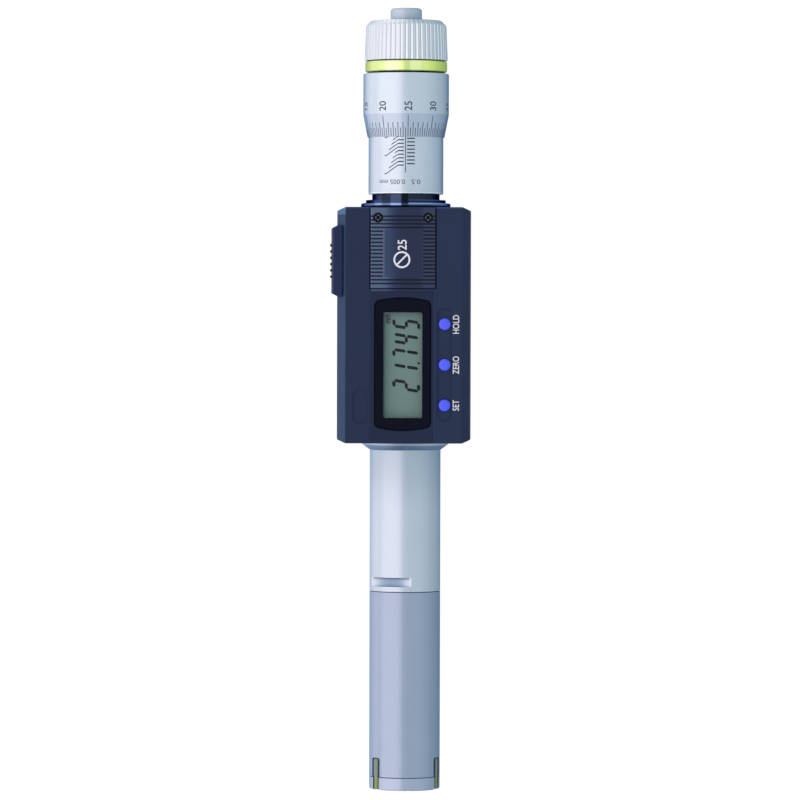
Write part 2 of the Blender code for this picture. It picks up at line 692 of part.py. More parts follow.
def make_grip_plate():
    left, right = -BAND_LEFT, BAND_RIGHT
    bottom = FRONT_HEIGHT - PLATE_THICKNESS
    plate = block("grip_plate", (left, PLATE_LOW, bottom), (right, PLATE_HIGH, FRONT_HEIGHT), PLATE_BLUE)
    rounded(plate, 0.12 * MM, 1)
    floor, top = FRONT_HEIGHT - RIB_DEPTH, FRONT_HEIGHT + CUT
    for i in range(RIB_COUNT):
        y = PLATE_HIGH - RIB_START - i * RIB_PITCH
        low, high = y - RIB_GROOVE / 2, y + RIB_GROOVE / 2
        if PAD_FIRST_RIB <= i < PAD_FIRST_RIB + PAD_RIBS:
            spans = [(left - CUT, left + PAD_LEFT_MARGIN), (right - PAD_RIGHT_MARGIN, right + CUT)]
        else:
            spans = [(left - CUT, right + CUT)]
        for start, end in spans:
            cut(plate, block("rib_groove", (start, low, floor), (end, high, top)))
    for x, y in plate_screw_places():
        hole = stepped_hole(
            "plate_hole", PLATE_SCREW_BORE, PLATE_SCREW_SHANK + GAP,
            bottom - CUT, FRONT_HEIGHT - PLATE_SCREW_SINK, top,
        )
        cut(plate, upright(hole, x, y))


def make_plate_screws():
    seat = FRONT_HEIGHT - PLATE_SCREW_SINK + SEAM
    for i, (x, y) in enumerate(plate_screw_places(), 1):
        make_screw(
            f"grip_plate_screw_{i}", PLATE_SCREW_HEAD, PLATE_SCREW_HEAD_HEIGHT,
            PLATE_SCREW_SHANK, PLATE_SCREW_LENGTH, cross_recess, 35.0,
            (x, y, seat + PLATE_SCREW_HEAD_HEIGHT), (0.0, 0.0, 0.0),
        )


def make_display():
    bezel = prism("display_bezel", window_plan(), BEZEL_BOTTOM, BEZEL_TOP, "Z", BEZEL_BLACK)
    rounded(bezel, 0.15 * MM, 1)
    opening = round_box(-LCD_LEFT, LCD_RIGHT, LCD_LOW, LCD_HIGH, 0.4 * MM, 3)
    cut(bezel, prism("bezel_opening", opening, BEZEL_BOTTOM - CUT, BEZEL_TOP + CUT, "Z"))
    prism("display_glass", window_plan(), GLASS_TOP - GLASS_THICKNESS, GLASS_TOP, "Z", GLASS)
    over = LCD_OVERLAP
    lcd = round_box(-LCD_LEFT - over, LCD_RIGHT + over, LCD_LOW - over, LCD_HIGH + over, 0.3 * MM, 1)
    prism("lcd_panel", lcd, BOARD_TOP + SEAM, LCD_TOP, "Z", LCD_GREEN)
    edge = WALL + GAP
    notch = edge + BOSS + BOSS_DRAFT
    board = block(
        "circuit_board",
        (-HOUSING_LEFT + notch, -HOUSING_END + edge, BOARD_TOP - BOARD_THICKNESS),
        (HOUSING_RIGHT - edge, HOUSING_END - notch, BOARD_TOP),
        BOARD_GREEN,
    )
    corner = (HOUSING_RIGHT - notch, -HOUSING_LENGTH, 0.0)
    far = (HOUSING_LENGTH, -HOUSING_END + notch, FRONT_HEIGHT)
    cut(board, block("board_corner", corner, far))


def make_keys():
    flange_top = BUTTON_BOTTOM + BUTTON_FLANGE
    crown = SIDE_HEIGHT + SEAM
    for name, y in zip(BUTTON_NAMES, BUTTON_STATIONS):
        dome = arc((0.0, 0.0), 1.0, 90, 0, 3)
        outline = [(BUTTON_RADIUS * u, crown + BUTTON_DOME * v) for u, v in dome]
        flange = BUTTON_RADIUS + 2 * GAP
        outline += [
            (BUTTON_RADIUS, flange_top), (flange, flange_top), (flange, BUTTON_BOTTOM),
            (0.0, BUTTON_BOTTOM),
        ]
        upright(turned(name, outline, BUTTON_VIOLET, PLAIN_SEGMENTS), BUTTON_X, y)


def make_battery_cover():
    """The ribbed cover over the left front edge, in one piece with the tray that holds the cell."""
    face = -HOUSING_LEFT - COVER_PROUD
    inner = -HOUSING_LEFT - SEAM
    low, high = BATTERY_COVER_BOTTOM, SIDE_HEIGHT - CHAMFER_LEFT
    slope = COVER_PROUD * 0.4
    section = [
        (inner, low), (inner, high + SEAM * 0.4),
        (-HOUSING_LEFT + CHAMFER_LEFT - slope, SIDE_HEIGHT - slope + SEAM * 1.4),
        (-HOUSING_LEFT + CHAMFER_LEFT - slope - GAP, SIDE_HEIGHT + slope * 0.2),
        (face + slope, high + COVER_PROUD * 0.9), (face, high),
        (face, low + COVER_PROUD),
    ]
    half = BATTERY_COVER_LENGTH / 2
    cover = prism(
        "battery_cover", section, BATTERY_STATION - half, BATTERY_STATION + half, "Y", NAVY
    )
    for sign in (-1, 1):
        edge = BATTERY_STATION + sign * half
        wedge = [
            (face - CUT, edge - sign * (COVER_PROUD * 0.5 + CUT * 0.5)),
            (inner + GAP, edge), (inner + GAP, edge + sign * CUT), (face - CUT, edge + sign * CUT),
        ]
        cut(cover, prism("cover_end_slope", wedge, 0.0, FRONT_HEIGHT + CUT, "Z"))
    rounded(cover, 0.25 * MM)
    for i in range(GRIP_RIB_COUNT):
        y = BATTERY_STATION + (i - (GRIP_RIB_COUNT - 1) / 2) * GRIP_RIB_PITCH
        rib = upright(pin("grip_rib", GRIP_RIB_RADIUS, low + 2 * COVER_PROUD, high, None, 8), face, y)
        joined(cover, rib)
    deep = BATTERY_THICKNESS + TRAY_WALL + GAP
    tray = turned("tray", [
        (0.0, TRAY_WALL), (TRAY_BORE, TRAY_WALL), (TRAY_BORE, deep), (TRAY_RADIUS, deep),
        (TRAY_RADIUS, -2 * GAP), (0.0, -2 * GAP),
    ])
    tray.location = (inner, BATTERY_STATION, AXIS_HEIGHT)
    tray.rotation_euler = (0.0, math.radians(90.0), 0.0)
    joined(cover, tray)
    low_x = inner + TRAY_WALL + SEAM
    cell = turned("battery", [
        (0.0, BATTERY_THICKNESS), (BATTERY_RADIUS * 0.9, BATTERY_THICKNESS),
        (BATTERY_RADIUS, BATTERY_THICKNESS * 0.85), (BATTERY_RADIUS, 0.0), (0.0, 0.0),
    ], STEEL, PLAIN_SEGMENTS)
    cell.location = (low_x, BATTERY_STATION, AXIS_HEIGHT)
    cell.rotation_euler = (0.0, math.radians(90.0), 0.0)


def make_frame_tube():
    spigot_top = TUBE_TOP + SPIGOT_LENGTH
    cone_end = TUBE_TOP - FLANGE_LENGTH
    socket = HEAD_SPIGOT_RADIUS + GAP
    socket_top = HEAD_TOP + HEAD_SPIGOT_LENGTH + GAP
    tube = turned("frame_tube", [
        (TUBE_BORE, spigot_top), (SPIGOT_RADIUS, spigot_top), (SPIGOT_RADIUS, TUBE_TOP),
        (FLANGE_RADIUS, TUBE_TOP), (TUBE_RADIUS, cone_end), (TUBE_RADIUS, TUBE_BOTTOM),
        (socket, TUBE_BOTTOM), (socket, socket_top), (TUBE_BORE, socket_top),
    ], SATIN, FINE_SEGMENTS, True)
    low = TUBE_BOTTOM + FLAT_FROM_END
    for side in (0.0, 180.0):
        flat = block(
            "spanner_flat",
            (FLAT_ACROSS / 2, -TUBE_RADIUS * 2, low), (TUBE_RADIUS * 2, TUBE_RADIUS * 2, low + FLAT_LENGTH),
        )
        middle = flat.location.copy()
        carrier = bpy.data.objects.new("flat_place", None)
        CUTTERS.objects.link(carrier)
        around_spindle(carrier, FLAT_AZIMUTH + side)
        flat.parent = carrier
        flat.location = middle
        cut(tube, flat)
    nut_low = -HOUSING_END + WALL + SEAM
    bored_cylinder(
        "tube_nut", SPIGOT_RADIUS + TUBE_NUT_WALL, SPIGOT_RADIUS + GAP,
        nut_low, nut_low + TUBE_NUT_HEIGHT, STEEL,
    )


def on_carrier(azimuth):
    """An empty on the spindle that turns what it carries to an azimuth."""
    carrier = bpy.data.objects.new("azimuth", None)
    CUTTERS.objects.link(carrier)
    return around_spindle(carrier, azimuth)


def carried(made, carrier):
    """Hang an object on a carrier, with its place measured there."""
    made.parent = carrier
    return made


def arm_plan(side, narrow_side, low):
    """The arm of an anvil, or the slot for it, seen from outside: round on top, narrow in the end plate."""
    wide = ARM_WIDTH / 2 + side
    narrow = ARM_NARROW_WIDTH / 2 + narrow_side
    spring = ARM_TOP - ARM_WIDTH / 2
    step = HEAD_BOTTOM + SEAM
    slope = step + SEAM
    return arc((0.0, spring), wide, 0, 180, 6) + [
        (-wide, slope), (-narrow, step), (-narrow, low), (narrow, low), (narrow, step), (wide, slope),
    ]


def make_head():
    spigot_top = HEAD_TOP + HEAD_SPIGOT_LENGTH
    cone_bore = CONE_RADIUS + GAP
    rod_bore = ROD_RADIUS + GAP
    chamber_top = CONE_TOP + GAP
    head = turned("measuring_head", [
        (rod_bore, spigot_top), (HEAD_SPIGOT_RADIUS, spigot_top), (HEAD_SPIGOT_RADIUS, HEAD_TOP),
        (TUBE_RADIUS, HEAD_TOP), (TUBE_RADIUS, HEAD_BOTTOM), (cone_bore, HEAD_BOTTOM),
        (cone_bore, chamber_top), (rod_bore, chamber_top),
    ], SATIN, FINE_SEGMENTS, True)
    out = CONE_RISE * FEED
    foot_half = FOOT_WIDTH / 2 + GAP
    arm_half = ARM_WIDTH / 2 + GAP
    for azimuth in ANVIL_AZIMUTHS:
        carrier = on_carrier(azimuth)
        foot_slot = block(
            "foot_slot",
            (0.0, -foot_half, HEAD_BOTTOM - CUT), (FOOT_RADIUS + out + GAP, foot_half, FOOT_TOP + GAP),
        )
        outline = arc((0.0, ARM_TOP - ARM_WIDTH / 2), arm_half, 0, 180, 6)
        outline += [(-arm_half, HEAD_BOTTOM - CUT), (arm_half, HEAD_BOTTOM - CUT)]
        arm_slot = prism("arm_slot", outline, CONE_RADIUS, TUBE_RADIUS + CUT, "X")
        cut(head, carried(foot_slot, carrier), carried(arm_slot, carrier))
        screw_place = on_carrier(azimuth + 60.0)
        deep = HEAD_BOTTOM + END_SCREW_LENGTH
        hole = pin("end_screw_hole", END_SCREW_SHANK + GAP, HEAD_BOTTOM - CUT, deep, None, SMALL_SEGMENTS)
        cut(head, carried(upright(hole, END_SCREW_CIRCLE, 0.0), screw_place))


def make_end_plate():
    edge = END_EDGE
    plate = turned("head_end_plate", [
        (0.0, END_PLATE_TOP), (TUBE_RADIUS, END_PLATE_TOP), (TUBE_RADIUS, END_FACE + edge),
        (TUBE_RADIUS - edge, END_FACE), (0.0, END_FACE),
    ], SATIN, FINE_SEGMENTS)
    recess_radius = CONE_TIP_RADIUS + 2 * GAP
    recess_floor = CONE_TIP - FEED - 2 * GAP
    cut(plate, pin("tip_recess", recess_radius, recess_floor, END_PLATE_TOP + CUT))
    slot_half = ARM_NARROW_WIDTH / 2 + PLATE_SLOT_SIDE
    for i, azimuth in enumerate(ANVIL_AZIMUTHS, 1):
        slot = block(
            "plate_slot",
            (ARM_INNER_RADIUS - GAP, -slot_half, END_FACE - CUT),
            (TUBE_RADIUS + CUT, slot_half, END_PLATE_TOP + CUT),
        )
        cut(plate, carried(slot, on_carrier(azimuth)))
        seat = END_FACE + END_SCREW_HEAD_HEIGHT + GAP
        carrier = on_carrier(azimuth + 60.0)
        hole = upright(stepped_hole(
            "end_screw_sink", END_SCREW_SHANK + GAP, END_SCREW_HEAD + GAP,
            END_FACE - CUT, seat, END_PLATE_TOP + CUT,
        ), END_SCREW_CIRCLE, 0.0)
        cut(plate, carried(hole, carrier))
        turn = math.radians(azimuth + 60.0)
        place = (
            END_SCREW_CIRCLE * math.sin(turn), END_FACE + SEAM,
            AXIS_HEIGHT + END_SCREW_CIRCLE * math.cos(turn),
        )
        make_screw(
            f"end_plate_screw_{i}", END_SCREW_HEAD, END_SCREW_HEAD_HEIGHT,
            END_SCREW_SHANK, END_SCREW_LENGTH, hexagon_recess, 15.0 * i,
            place, (math.radians(90.0), 0.0, 0.0),
        )


def make_cone_train():
    """The cone that spreads the anvils, its push rod, the spring that lifts it, and the ball on top."""
    socket = ROD_RADIUS + GAP
    socket_floor = CONE_TOP - CONE_SOCKET_DEPTH
    turned("measuring_cone", [
        (0.0, socket_floor), (socket, socket_floor), (socket, CONE_TOP), (CONE_RADIUS, CONE_TOP),
        (CONE_RADIUS, CONE_SHOULDER), (CONE_TIP_RADIUS, CONE_TIP), (0.0, CONE_TIP),
    ], CARBIDE, PLAIN_SEGMENTS)
    collar_low = ROD_COLLAR_STATION
    collar_high = collar_low + ROD_COLLAR_HEIGHT
    rod_low = socket_floor + GAP
    turned("push_rod", [
        (0.0, ROD_TOP), (ROD_RADIUS, ROD_TOP), (ROD_RADIUS, collar_high), (ROD_COLLAR_RADIUS, collar_high),
        (ROD_COLLAR_RADIUS, collar_low), (ROD_RADIUS, collar_low), (ROD_RADIUS, rod_low), (0.0, rod_low),
    ], STEEL, PLAIN_SEGMENTS)
    form = bmesh.new()
    bmesh.ops.create_uvsphere(form, u_segments=12, v_segments=6, radius=BALL_RADIUS)
    mesh = bpy.data.meshes.new("thrust_ball")
    form.to_mesh(mesh)
    form.free()
    smooth(mesh)
    ball = add_object("thrust_ball", mesh, STEEL)
    ball.location = (0.0, SPINDLE_END - GAP - BALL_RADIUS, AXIS_HEIGHT)
    radius = ROD_RADIUS + GAP + SPRING_WIRE * 2
    low = HEAD_TOP + HEAD_SPIGOT_LENGTH + GAP + SPRING_WIRE
    high = ROD_COLLAR_STATION - GAP - SPRING_WIRE
    wire_coil("return_spring", radius, low, high, SPRING_TURNS, SPRING_WIRE)


def wire_coil(name, radius, low, high, turns, wire):
    curve = bpy.data.curves.new(name, "CURVE")
    curve.dimensions = "3D"
    curve.bevel_depth = wire
    curve.bevel_resolution = 2
    curve.use_fill_caps = True
    count = turns * COIL_STEPS
    spline = curve.splines.new("POLY")
    spline.points.add(count)
    for i, point in enumerate(spline.points):
        turn = 2 * math.pi * i / COIL_STEPS
        height = low + (high - low) * i / count
        point.co = (radius * math.cos(turn), radius * math.sin(turn), height, 1.0)
    coil = bpy.data.objects.new(name, curve)
    curve.materials.append(STEEL)
    PARTS.objects.link(coil)
    around_spindle(coil)


def make_anvils():
    """Three anvils: a foot on the cone, an arm through the head, and a coated strip that touches the bore."""
    slant = GAP * math.hypot(1.0, CONE_RISE)

    def cone_side(station):
        return (station - CONE_VERTEX) * CONE_RISE + slant

    heel = ARM_TOP - ARM_WIDTH / 2 - GAP
    inner = ARM_INNER_RADIUS
    foot = [
        (cone_side(FOOT_TOP), FOOT_TOP), (FOOT_RADIUS, FOOT_TOP), (FOOT_RADIUS, heel),
        (inner + SEAM, heel), (inner + SEAM, FOOT_BOTTOM), (cone_side(FOOT_BOTTOM), FOOT_BOTTOM),
    ]
    arm_outer = TIP_RADIUS - TIP_DEPTH
    end = END_FACE + ARM_END_INSET
    ring_radius = FOOT_RADIUS - RING_SPRING_INSET
    ring_station = (FOOT_TOP + FOOT_BOTTOM) / 2
    ring_half = RING_SPRING_WIRE + GAP
    for i, azimuth in enumerate(ANVIL_AZIMUTHS, 1):
        anvil = around_spindle(
            prism(f"anvil_{i}", foot, -FOOT_WIDTH / 2, FOOT_WIDTH / 2, "Y", CARBIDE), azimuth
        )
        carrier = on_carrier(azimuth)
        arm = prism("arm", arm_plan(0.0, 0.0, end), inner, arm_outer, "X")
        groove = block(
            "ring_groove",
            (FOOT_RADIUS - RING_GROOVE_DEPTH, -FOOT_WIDTH, ring_station - ring_half),
            (FOOT_RADIUS + CUT, FOOT_WIDTH, ring_station + ring_half),
        )
        joined(anvil, carried(arm, carrier))
        cut(anvil, carried(groove, carrier))
        half = TIP_WIDTH / 2
        crown = arc((0.0, 0.0), half, 0, 180, 6)
        face = [(u, TIP_RADIUS - half * 0.35 + v * 0.35) for u, v in crown]
        base = arm_outer + SEAM
        tip_outline = face + [(-half, base), (half, base)]
        top = ARM_TOP - GAP
        tip = prism(f"contact_tip_{i}", [(v, u) for u, v in tip_outline], end, top, "Z", CONTACT_GOLD)
        around_spindle(tip, azimuth)
    ring = arc((ring_radius, ring_station), RING_SPRING_WIRE, 90.0, 90.0 - 300.0, 5)
    turned("anvil_ring_spring", ring, STEEL, PLAIN_SEGMENTS, True)


def make_collar_and_sleeve():
    flange_top = COLLAR_BOTTOM + COLLAR_FLANGE_HEIGHT
    step_top = flange_top + COLLAR_STEP_HEIGHT
    edge = COLLAR_FLANGE_HEIGHT * 0.4
    bore = INNER_SLEEVE_SHANK + GAP
    bottom = HOUSING_END - WALL
    rounded_flange = arc((FLANGE_RADIUS - edge, flange_top - edge), edge, 90, 0, 2)
    rounded_flange += arc((FLANGE_RADIUS - edge, COLLAR_BOTTOM + edge), edge, 0, -90, 1)
    turned("upper_collar", [
        (bore, COLLAR_TOP), (COLLAR_NECK_RADIUS, COLLAR_TOP), (COLLAR_NECK_RADIUS, step_top),
        (COLLAR_STEP_RADIUS, step_top),
        (COLLAR_STEP_RADIUS, flange_top),
    ] + rounded_flange + [
        (SPIGOT_RADIUS, COLLAR_BOTTOM), (SPIGOT_RADIUS, bottom), (bore, bottom),
    ], COLLAR_BLACK, FINE_SEGMENTS, True)
    bored_cylinder(
        "sleeve", SLEEVE_RADIUS, SLEEVE_BORE, SLEEVE_BOTTOM, SLEEVE_BOTTOM + SLEEVE_LENGTH, SATIN, FINE_SEGMENTS
    )
    inner_top = SLEEVE_BOTTOM + INNER_SLEEVE_LENGTH
    shank_low = SLEEVE_BOTTOM - INNER_SHANK_LENGTH
    spindle_bore = SPINDLE_RADIUS + GAP
    turned("inner_sleeve", [
        (spindle_bore, inner_top), (INNER_SLEEVE_RADIUS, inner_top), (INNER_SLEEVE_RADIUS, SLEEVE_BOTTOM),
        (INNER_SLEEVE_SHANK, SLEEVE_BOTTOM), (INNER_SLEEVE_SHANK, shank_low), (spindle_bore, shank_low),
    ], STEEL, PLAIN_SEGMENTS, True)


def make_encoder():
    """The drum inside the housing that reads the spindle's turns, and the nut that clamps it."""
    top, low = ENCODER_TOP, ENCODER_LOW
    wall_low = top - ENCODER_END_WALL
    bore = ENCODER_RADIUS - ENCODER_WALL
    shank_bore = INNER_SLEEVE_SHANK + GAP
    turned("encoder_housing", [
        (shank_bore, top), (ENCODER_RADIUS, top), (ENCODER_RADIUS, low), (bore, low),
        (bore, wall_low), (shank_bore, wall_low),
    ], BOARD_GREY, PLAIN_SEGMENTS, True)
    nut_top = wall_low - SEAM
    bored_cylinder(
        "sleeve_nut", INNER_SLEEVE_SHANK + TUBE_NUT_WALL, shank_bore,
        nut_top - SLEEVE_NUT_HEIGHT, nut_top, STEEL,
    )
    hub = SPINDLE_RADIUS + SEAM
    rotor_top = ROTOR_STATION + ROTOR_HEIGHT
    stator_top = ROTOR_STATION - GAP
    rim = bore - SEAM * 2
    bored_cylinder("encoder_rotor", rim - GAP, hub, ROTOR_STATION, rotor_top, BOARD_GREY)
    bored_cylinder(
        "encoder_stator", rim + SEAM, SPINDLE_RADIUS + 2 * GAP, stator_top - STATOR_HEIGHT, stator_top,
        BOARD_GREEN,
    )


def make_spindle_and_thimble():
    seat = THIMBLE_TOP - THIMBLE_END_WALL
    stub_top = KNOB_TOP - KNOB_HEIGHT / 3
    turned("spindle", [
        (0.0, stub_top), (STUB_RADIUS, stub_top), (STUB_RADIUS, seat - SEAM), (SPINDLE_RADIUS, seat - SEAM),
        (SPINDLE_RADIUS, SPINDLE_END), (0.0, SPINDLE_END),
    ], STEEL, PLAIN_SEGMENTS)
    stub_bore = STUB_RADIUS + SEAM
    edge = GAP
    boss_top = RING_TOP + SEAM
    turned("thimble", [
        (stub_bore, boss_top), (THIMBLE_BOSS_RADIUS, boss_top), (THIMBLE_BOSS_RADIUS, THIMBLE_TOP),
        (THIMBLE_RADIUS - edge, THIMBLE_TOP), (THIMBLE_RADIUS, THIMBLE_TOP - edge),
        (THIMBLE_RADIUS, THIMBLE_EDGE + THIMBLE_TAPER),
        (THIMBLE_BORE + THIMBLE_LIP, THIMBLE_EDGE), (THIMBLE_BORE, THIMBLE_EDGE),
        (THIMBLE_BORE, seat), (stub_bore, seat),
    ], SATIN, FINE_SEGMENTS, True)
    ring_edge = RING_HEIGHT * 0.2
    outer = RING_RADIUS - ring_edge
    bore = THIMBLE_BOSS_RADIUS + GAP
    turned("colour_ring", [(bore, RING_TOP)] + arc((outer, RING_TOP - ring_edge), ring_edge, 90, 0, 2)
           + arc((outer, RING_BOTTOM + ring_edge), ring_edge, 0, -90, 2) + [(bore, RING_BOTTOM)],
           RING_GREEN, FINE_SEGMENTS, True)


def make_ratchet():
    """The fluted drum, which turns the spindle through a toothed wheel and a wire pawl."""
    crown = DRUM_CROWN_RADIUS
    blank = turned("ratchet_drum", [
        (0.0, DRUM_TOP), (crown, DRUM_TOP),
        (DRUM_TOP_RADIUS - FLUTE_DEPTH / 2, DRUM_CREST + DRUM_CROWN_HEIGHT * 0.25),
        (DRUM_TOP_RADIUS, DRUM_CREST), (DRUM_RADIUS, DRUM_BOTTOM), (0.0, DRUM_BOTTOM),
    ], DRUM_STEEL, FLUTES * FLUTE_POINTS)
    step = 2 * math.pi / (FLUTES * FLUTE_POINTS)
    for vert in blank.data.vertices:
        radius = math.hypot(vert.co.x, vert.co.y)
        place = round(math.atan2(vert.co.y, vert.co.x) / step) % FLUTE_POINTS
        if place == 0 and radius > crown and vert.co.z < DRUM_CREST + WELD:
            vert.co.x *= 1 - FLUTE_DEPTH / radius
            vert.co.y *= 1 - FLUTE_DEPTH / radius
    smooth(blank.data)
    hollow_top = DRUM_TOP - DRUM_WALL
    hollow = DRUM_TOP_RADIUS - FLUTE_DEPTH - DRUM_WALL
    cut(blank, pin("drum_hollow", hollow, DRUM_BOTTOM - CUT, hollow_top))
    cut(blank, pin("stub_hole", STUB_RADIUS + SEAM, DRUM_BOTTOM - CUT, DRUM_TOP + CUT))
    knob_bore_top = KNOB_TOP - KNOB_HEIGHT / 3 + GAP
    knob_bore = STUB_RADIUS + SEAM
    turned("end_knob", [
        (0.0, KNOB_TOP), (KNOB_RADIUS - KNOB_CHAMFER, KNOB_TOP), (KNOB_RADIUS, KNOB_TOP - KNOB_CHAMFER),
        (KNOB_RADIUS, KNOB_BOTTOM), (knob_bore, KNOB_BOTTOM), (knob_bore, knob_bore_top),
        (0.0, knob_bore_top),
    ], STEEL, PLAIN_SEGMENTS)
    wheel_low = RING_TOP + SEAM * 2
    teeth = []
    for i in range(WHEEL_TEETH):
        pitch = 360.0 / WHEEL_TEETH
        for radius, part in ((WHEEL_RADIUS, 0.0), (WHEEL_RADIUS * 0.86, 0.15)):
            turn = math.radians((i + part) * pitch)
            teeth.append((radius * math.cos(turn), radius * math.sin(turn)))
    wheel = prism("ratchet_wheel", teeth, wheel_low, wheel_low + WHEEL_HEIGHT, "Z", STEEL)
    around_spindle(wheel)
    bore = pin("wheel_bore", STUB_RADIUS + SEAM, wheel_low - CUT, wheel_low + WHEEL_HEIGHT + CUT)
    cut(wheel, bore)
    middle = wheel_low + WHEEL_HEIGHT / 2
    curve = bpy.data.curves.new("ratchet_spring", "CURVE")
    curve.dimensions = "3D"
    curve.bevel_depth = PAWL_WIRE
    curve.bevel_resolution = 2
    curve.use_fill_caps = True
    spline = curve.splines.new("POLY")
    reach = hollow - PAWL_WIRE - GAP
    near = WHEEL_RADIUS + PAWL_WIRE + GAP
    count = 12
    spline.points.add(count)
    for i, point in enumerate(spline.points):
        turn = math.radians(300.0 * i / count)
        away = reach if i < count - 3 else reach + (near - reach) * (i - count + 3) / 3
        point.co = (away * math.cos(turn), away * math.sin(turn), middle, 1.0)
    spring = bpy.data.objects.new("ratchet_spring", curve)
    curve.materials.append(STEEL)
    PARTS.objects.link(spring)
    around_spindle(spring)


clear_scene()
PARTS = new_collection("inside_micrometer")
CUTTERS = new_collection("cutters")
NAVY = new_finish("navy_plastic", (0.024, 0.036, 0.078), 0.45)
PLATE_BLUE = new_finish("plate_blue", (0.032, 0.05, 0.1), 0.4)
BEZEL_BLACK = new_finish("bezel_black", (0.006, 0.006, 0.014), 0.25)
GLASS = new_finish("clear_glass", (0.9, 0.95, 0.95), 0.05)
LCD_GREEN = new_finish("lcd_green", (0.19, 0.31, 0.26), 0.3)
BOARD_GREEN = new_finish("board_green", (0.02, 0.16, 0.06), 0.5)
BOARD_GREY = new_finish("grey_plastic", (0.15, 0.15, 0.16), 0.5)
BUTTON_VIOLET = new_finish("button_violet", (0.1, 0.12, 0.85), 0.35)
COLLAR_BLACK = new_finish("collar_black", (0.01, 0.01, 0.012), 0.35)
SATIN = new_finish("satin_chrome", (0.62, 0.66, 0.74), 0.3, 1.0)
STEEL = new_finish("steel", (0.5, 0.5, 0.52), 0.3, 1.0)
DRUM_STEEL = new_finish("fluted_steel", (0.55, 0.57, 0.62), 0.35, 1.0)
CARBIDE = new_finish("hardened_steel", (0.2, 0.2, 0.21), 0.35, 1.0)
CONTACT_GOLD = new_finish("coated_contact", (0.45, 0.42, 0.12), 0.3, 1.0)
RING_GREEN = new_finish("ring_green", (0.58, 0.75, 0.15), 0.35)

make_housing_front()
make_back_cover()
make_back_screws()
make_grip_plate()
make_plate_screws()
make_display()
make_keys()
make_battery_cover()
make_frame_tube()
make_head()
make_end_plate()
make_cone_train()
make_anvils()
make_collar_and_sleeve()
make_encoder()
make_spindle_and_thimble()
make_ratchet()
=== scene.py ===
"""The looks of a digital three-point inside micrometer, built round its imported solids.

Lengths are in metres. X runs across the housing, Y along the spindle towards the thimble, and Z up
through the display. Round pieces are drawn as outlines of (radius, station) points, and an azimuth
is in degrees from straight up, positive towards +X.
"""
import json
import math

import bmesh
import bpy
from mathutils import Matrix, Vector


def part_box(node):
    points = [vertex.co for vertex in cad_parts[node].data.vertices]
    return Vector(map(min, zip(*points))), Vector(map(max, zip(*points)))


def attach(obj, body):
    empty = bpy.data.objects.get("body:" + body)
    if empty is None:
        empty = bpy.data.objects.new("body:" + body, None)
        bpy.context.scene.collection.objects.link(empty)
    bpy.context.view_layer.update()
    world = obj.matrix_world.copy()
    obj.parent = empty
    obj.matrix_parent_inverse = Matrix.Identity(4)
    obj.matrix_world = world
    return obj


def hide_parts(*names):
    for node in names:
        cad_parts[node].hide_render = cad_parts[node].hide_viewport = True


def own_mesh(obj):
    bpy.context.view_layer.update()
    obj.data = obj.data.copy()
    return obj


MM = 0.001
WELD = 0.0005 * MM

# Spindle line
AXIS_HEIGHT = 13.5 * MM
ROUND_STEPS = 144
EASE = 0.12 * MM

# Measuring head and frame tube
TUBE_RADIUS = 9.75 * MM
END_FACE = -127.7 * MM
HEAD_BOTTOM = -124.1 * MM
HEAD_TOP = -73.25 * MM
SLOT_TOP = -118.85 * MM
FOOT_TOP = -113.5 * MM
TUBE_BOTTOM = -73.1 * MM
TUBE_TOP = -32.35 * MM
FLANGE_RADIUS = 12.35 * MM
FLANGE_LENGTH = 1.95 * MM
FLAT_ACROSS = 15.0 * MM
FLAT_LENGTH = 2.5 * MM
FLAT_LOW = -71.7 * MM
FLAT_AZIMUTH = -29.0
ANVIL_AZIMUTHS = (-54.0, 66.0, 186.0)

# Sleeve and thimble
SLEEVE_RADIUS = 10.3 * MM
SLEEVE_LOW = 36.05 * MM
SLEEVE_LENGTH = 24.0 * MM
THIMBLE_EDGE = 51.65 * MM
THIMBLE_TOP = 69.15 * MM
THIMBLE_RADIUS = 11.8 * MM
THIMBLE_TAPER = 6.2 * MM
THIMBLE_LIP = 0.14 * MM
THIMBLE_BORE = SLEEVE_RADIUS + 0.13 * MM
RING_LOW = 69.55 * MM
RING_TOP = 72.6 * MM
RING_RADIUS = 11.3 * MM
DRUM_LOW = 72.75 * MM
DRUM_CREST = 82.15 * MM
DRUM_TOP = 83.75 * MM
DRUM_RADIUS = 11.45 * MM
DRUM_TOP_RADIUS = 11.1 * MM
DRUM_CROWN_RADIUS = 9.7 * MM
FLUTES = 50
KNOB_LOW = 84.05 * MM
KNOB_TOP = 87.2 * MM
KNOB_RADIUS = 4.35 * MM
COLLAR_LOW = 32.35 * MM

# Housing
FRONT = 30.5 * MM
SIDE_FRONT = 30.15 * MM

# Marks: how far the ink stands proud, a capital's share of its letter size, the stations where the
# dial's lines end and its figures stand, and the words beside the keys with their places
INK = 0.012 * MM
CAPITAL = 0.7
DATUM_READING = 24.5
DATUM_SHIFT = -0.16 * MM
DIAL_STROKE = 0.19 * MM
DIAL_SHORT = 54.0 * MM
DIAL_MIDDLE = 55.5 * MM
DIAL_LONG = 57.35 * MM
DIAL_FIGURES = 59.95 * MM
SCALE_PITCH = 0.99 * MM
LEADERS = (-3.52 * MM, -3.99 * MM, -4.74 * MM, -5.5 * MM, -2.9 * MM)
KEY_WORDS = (("HOLD", 0.25), ("ZERO", -10.8), ("SET", -21.8))

# Grooves of the drum: their depth, and their share of the pitch
GROOVE_DEPTH = 0.16 * MM
GROOVE_SHARE = 0.46

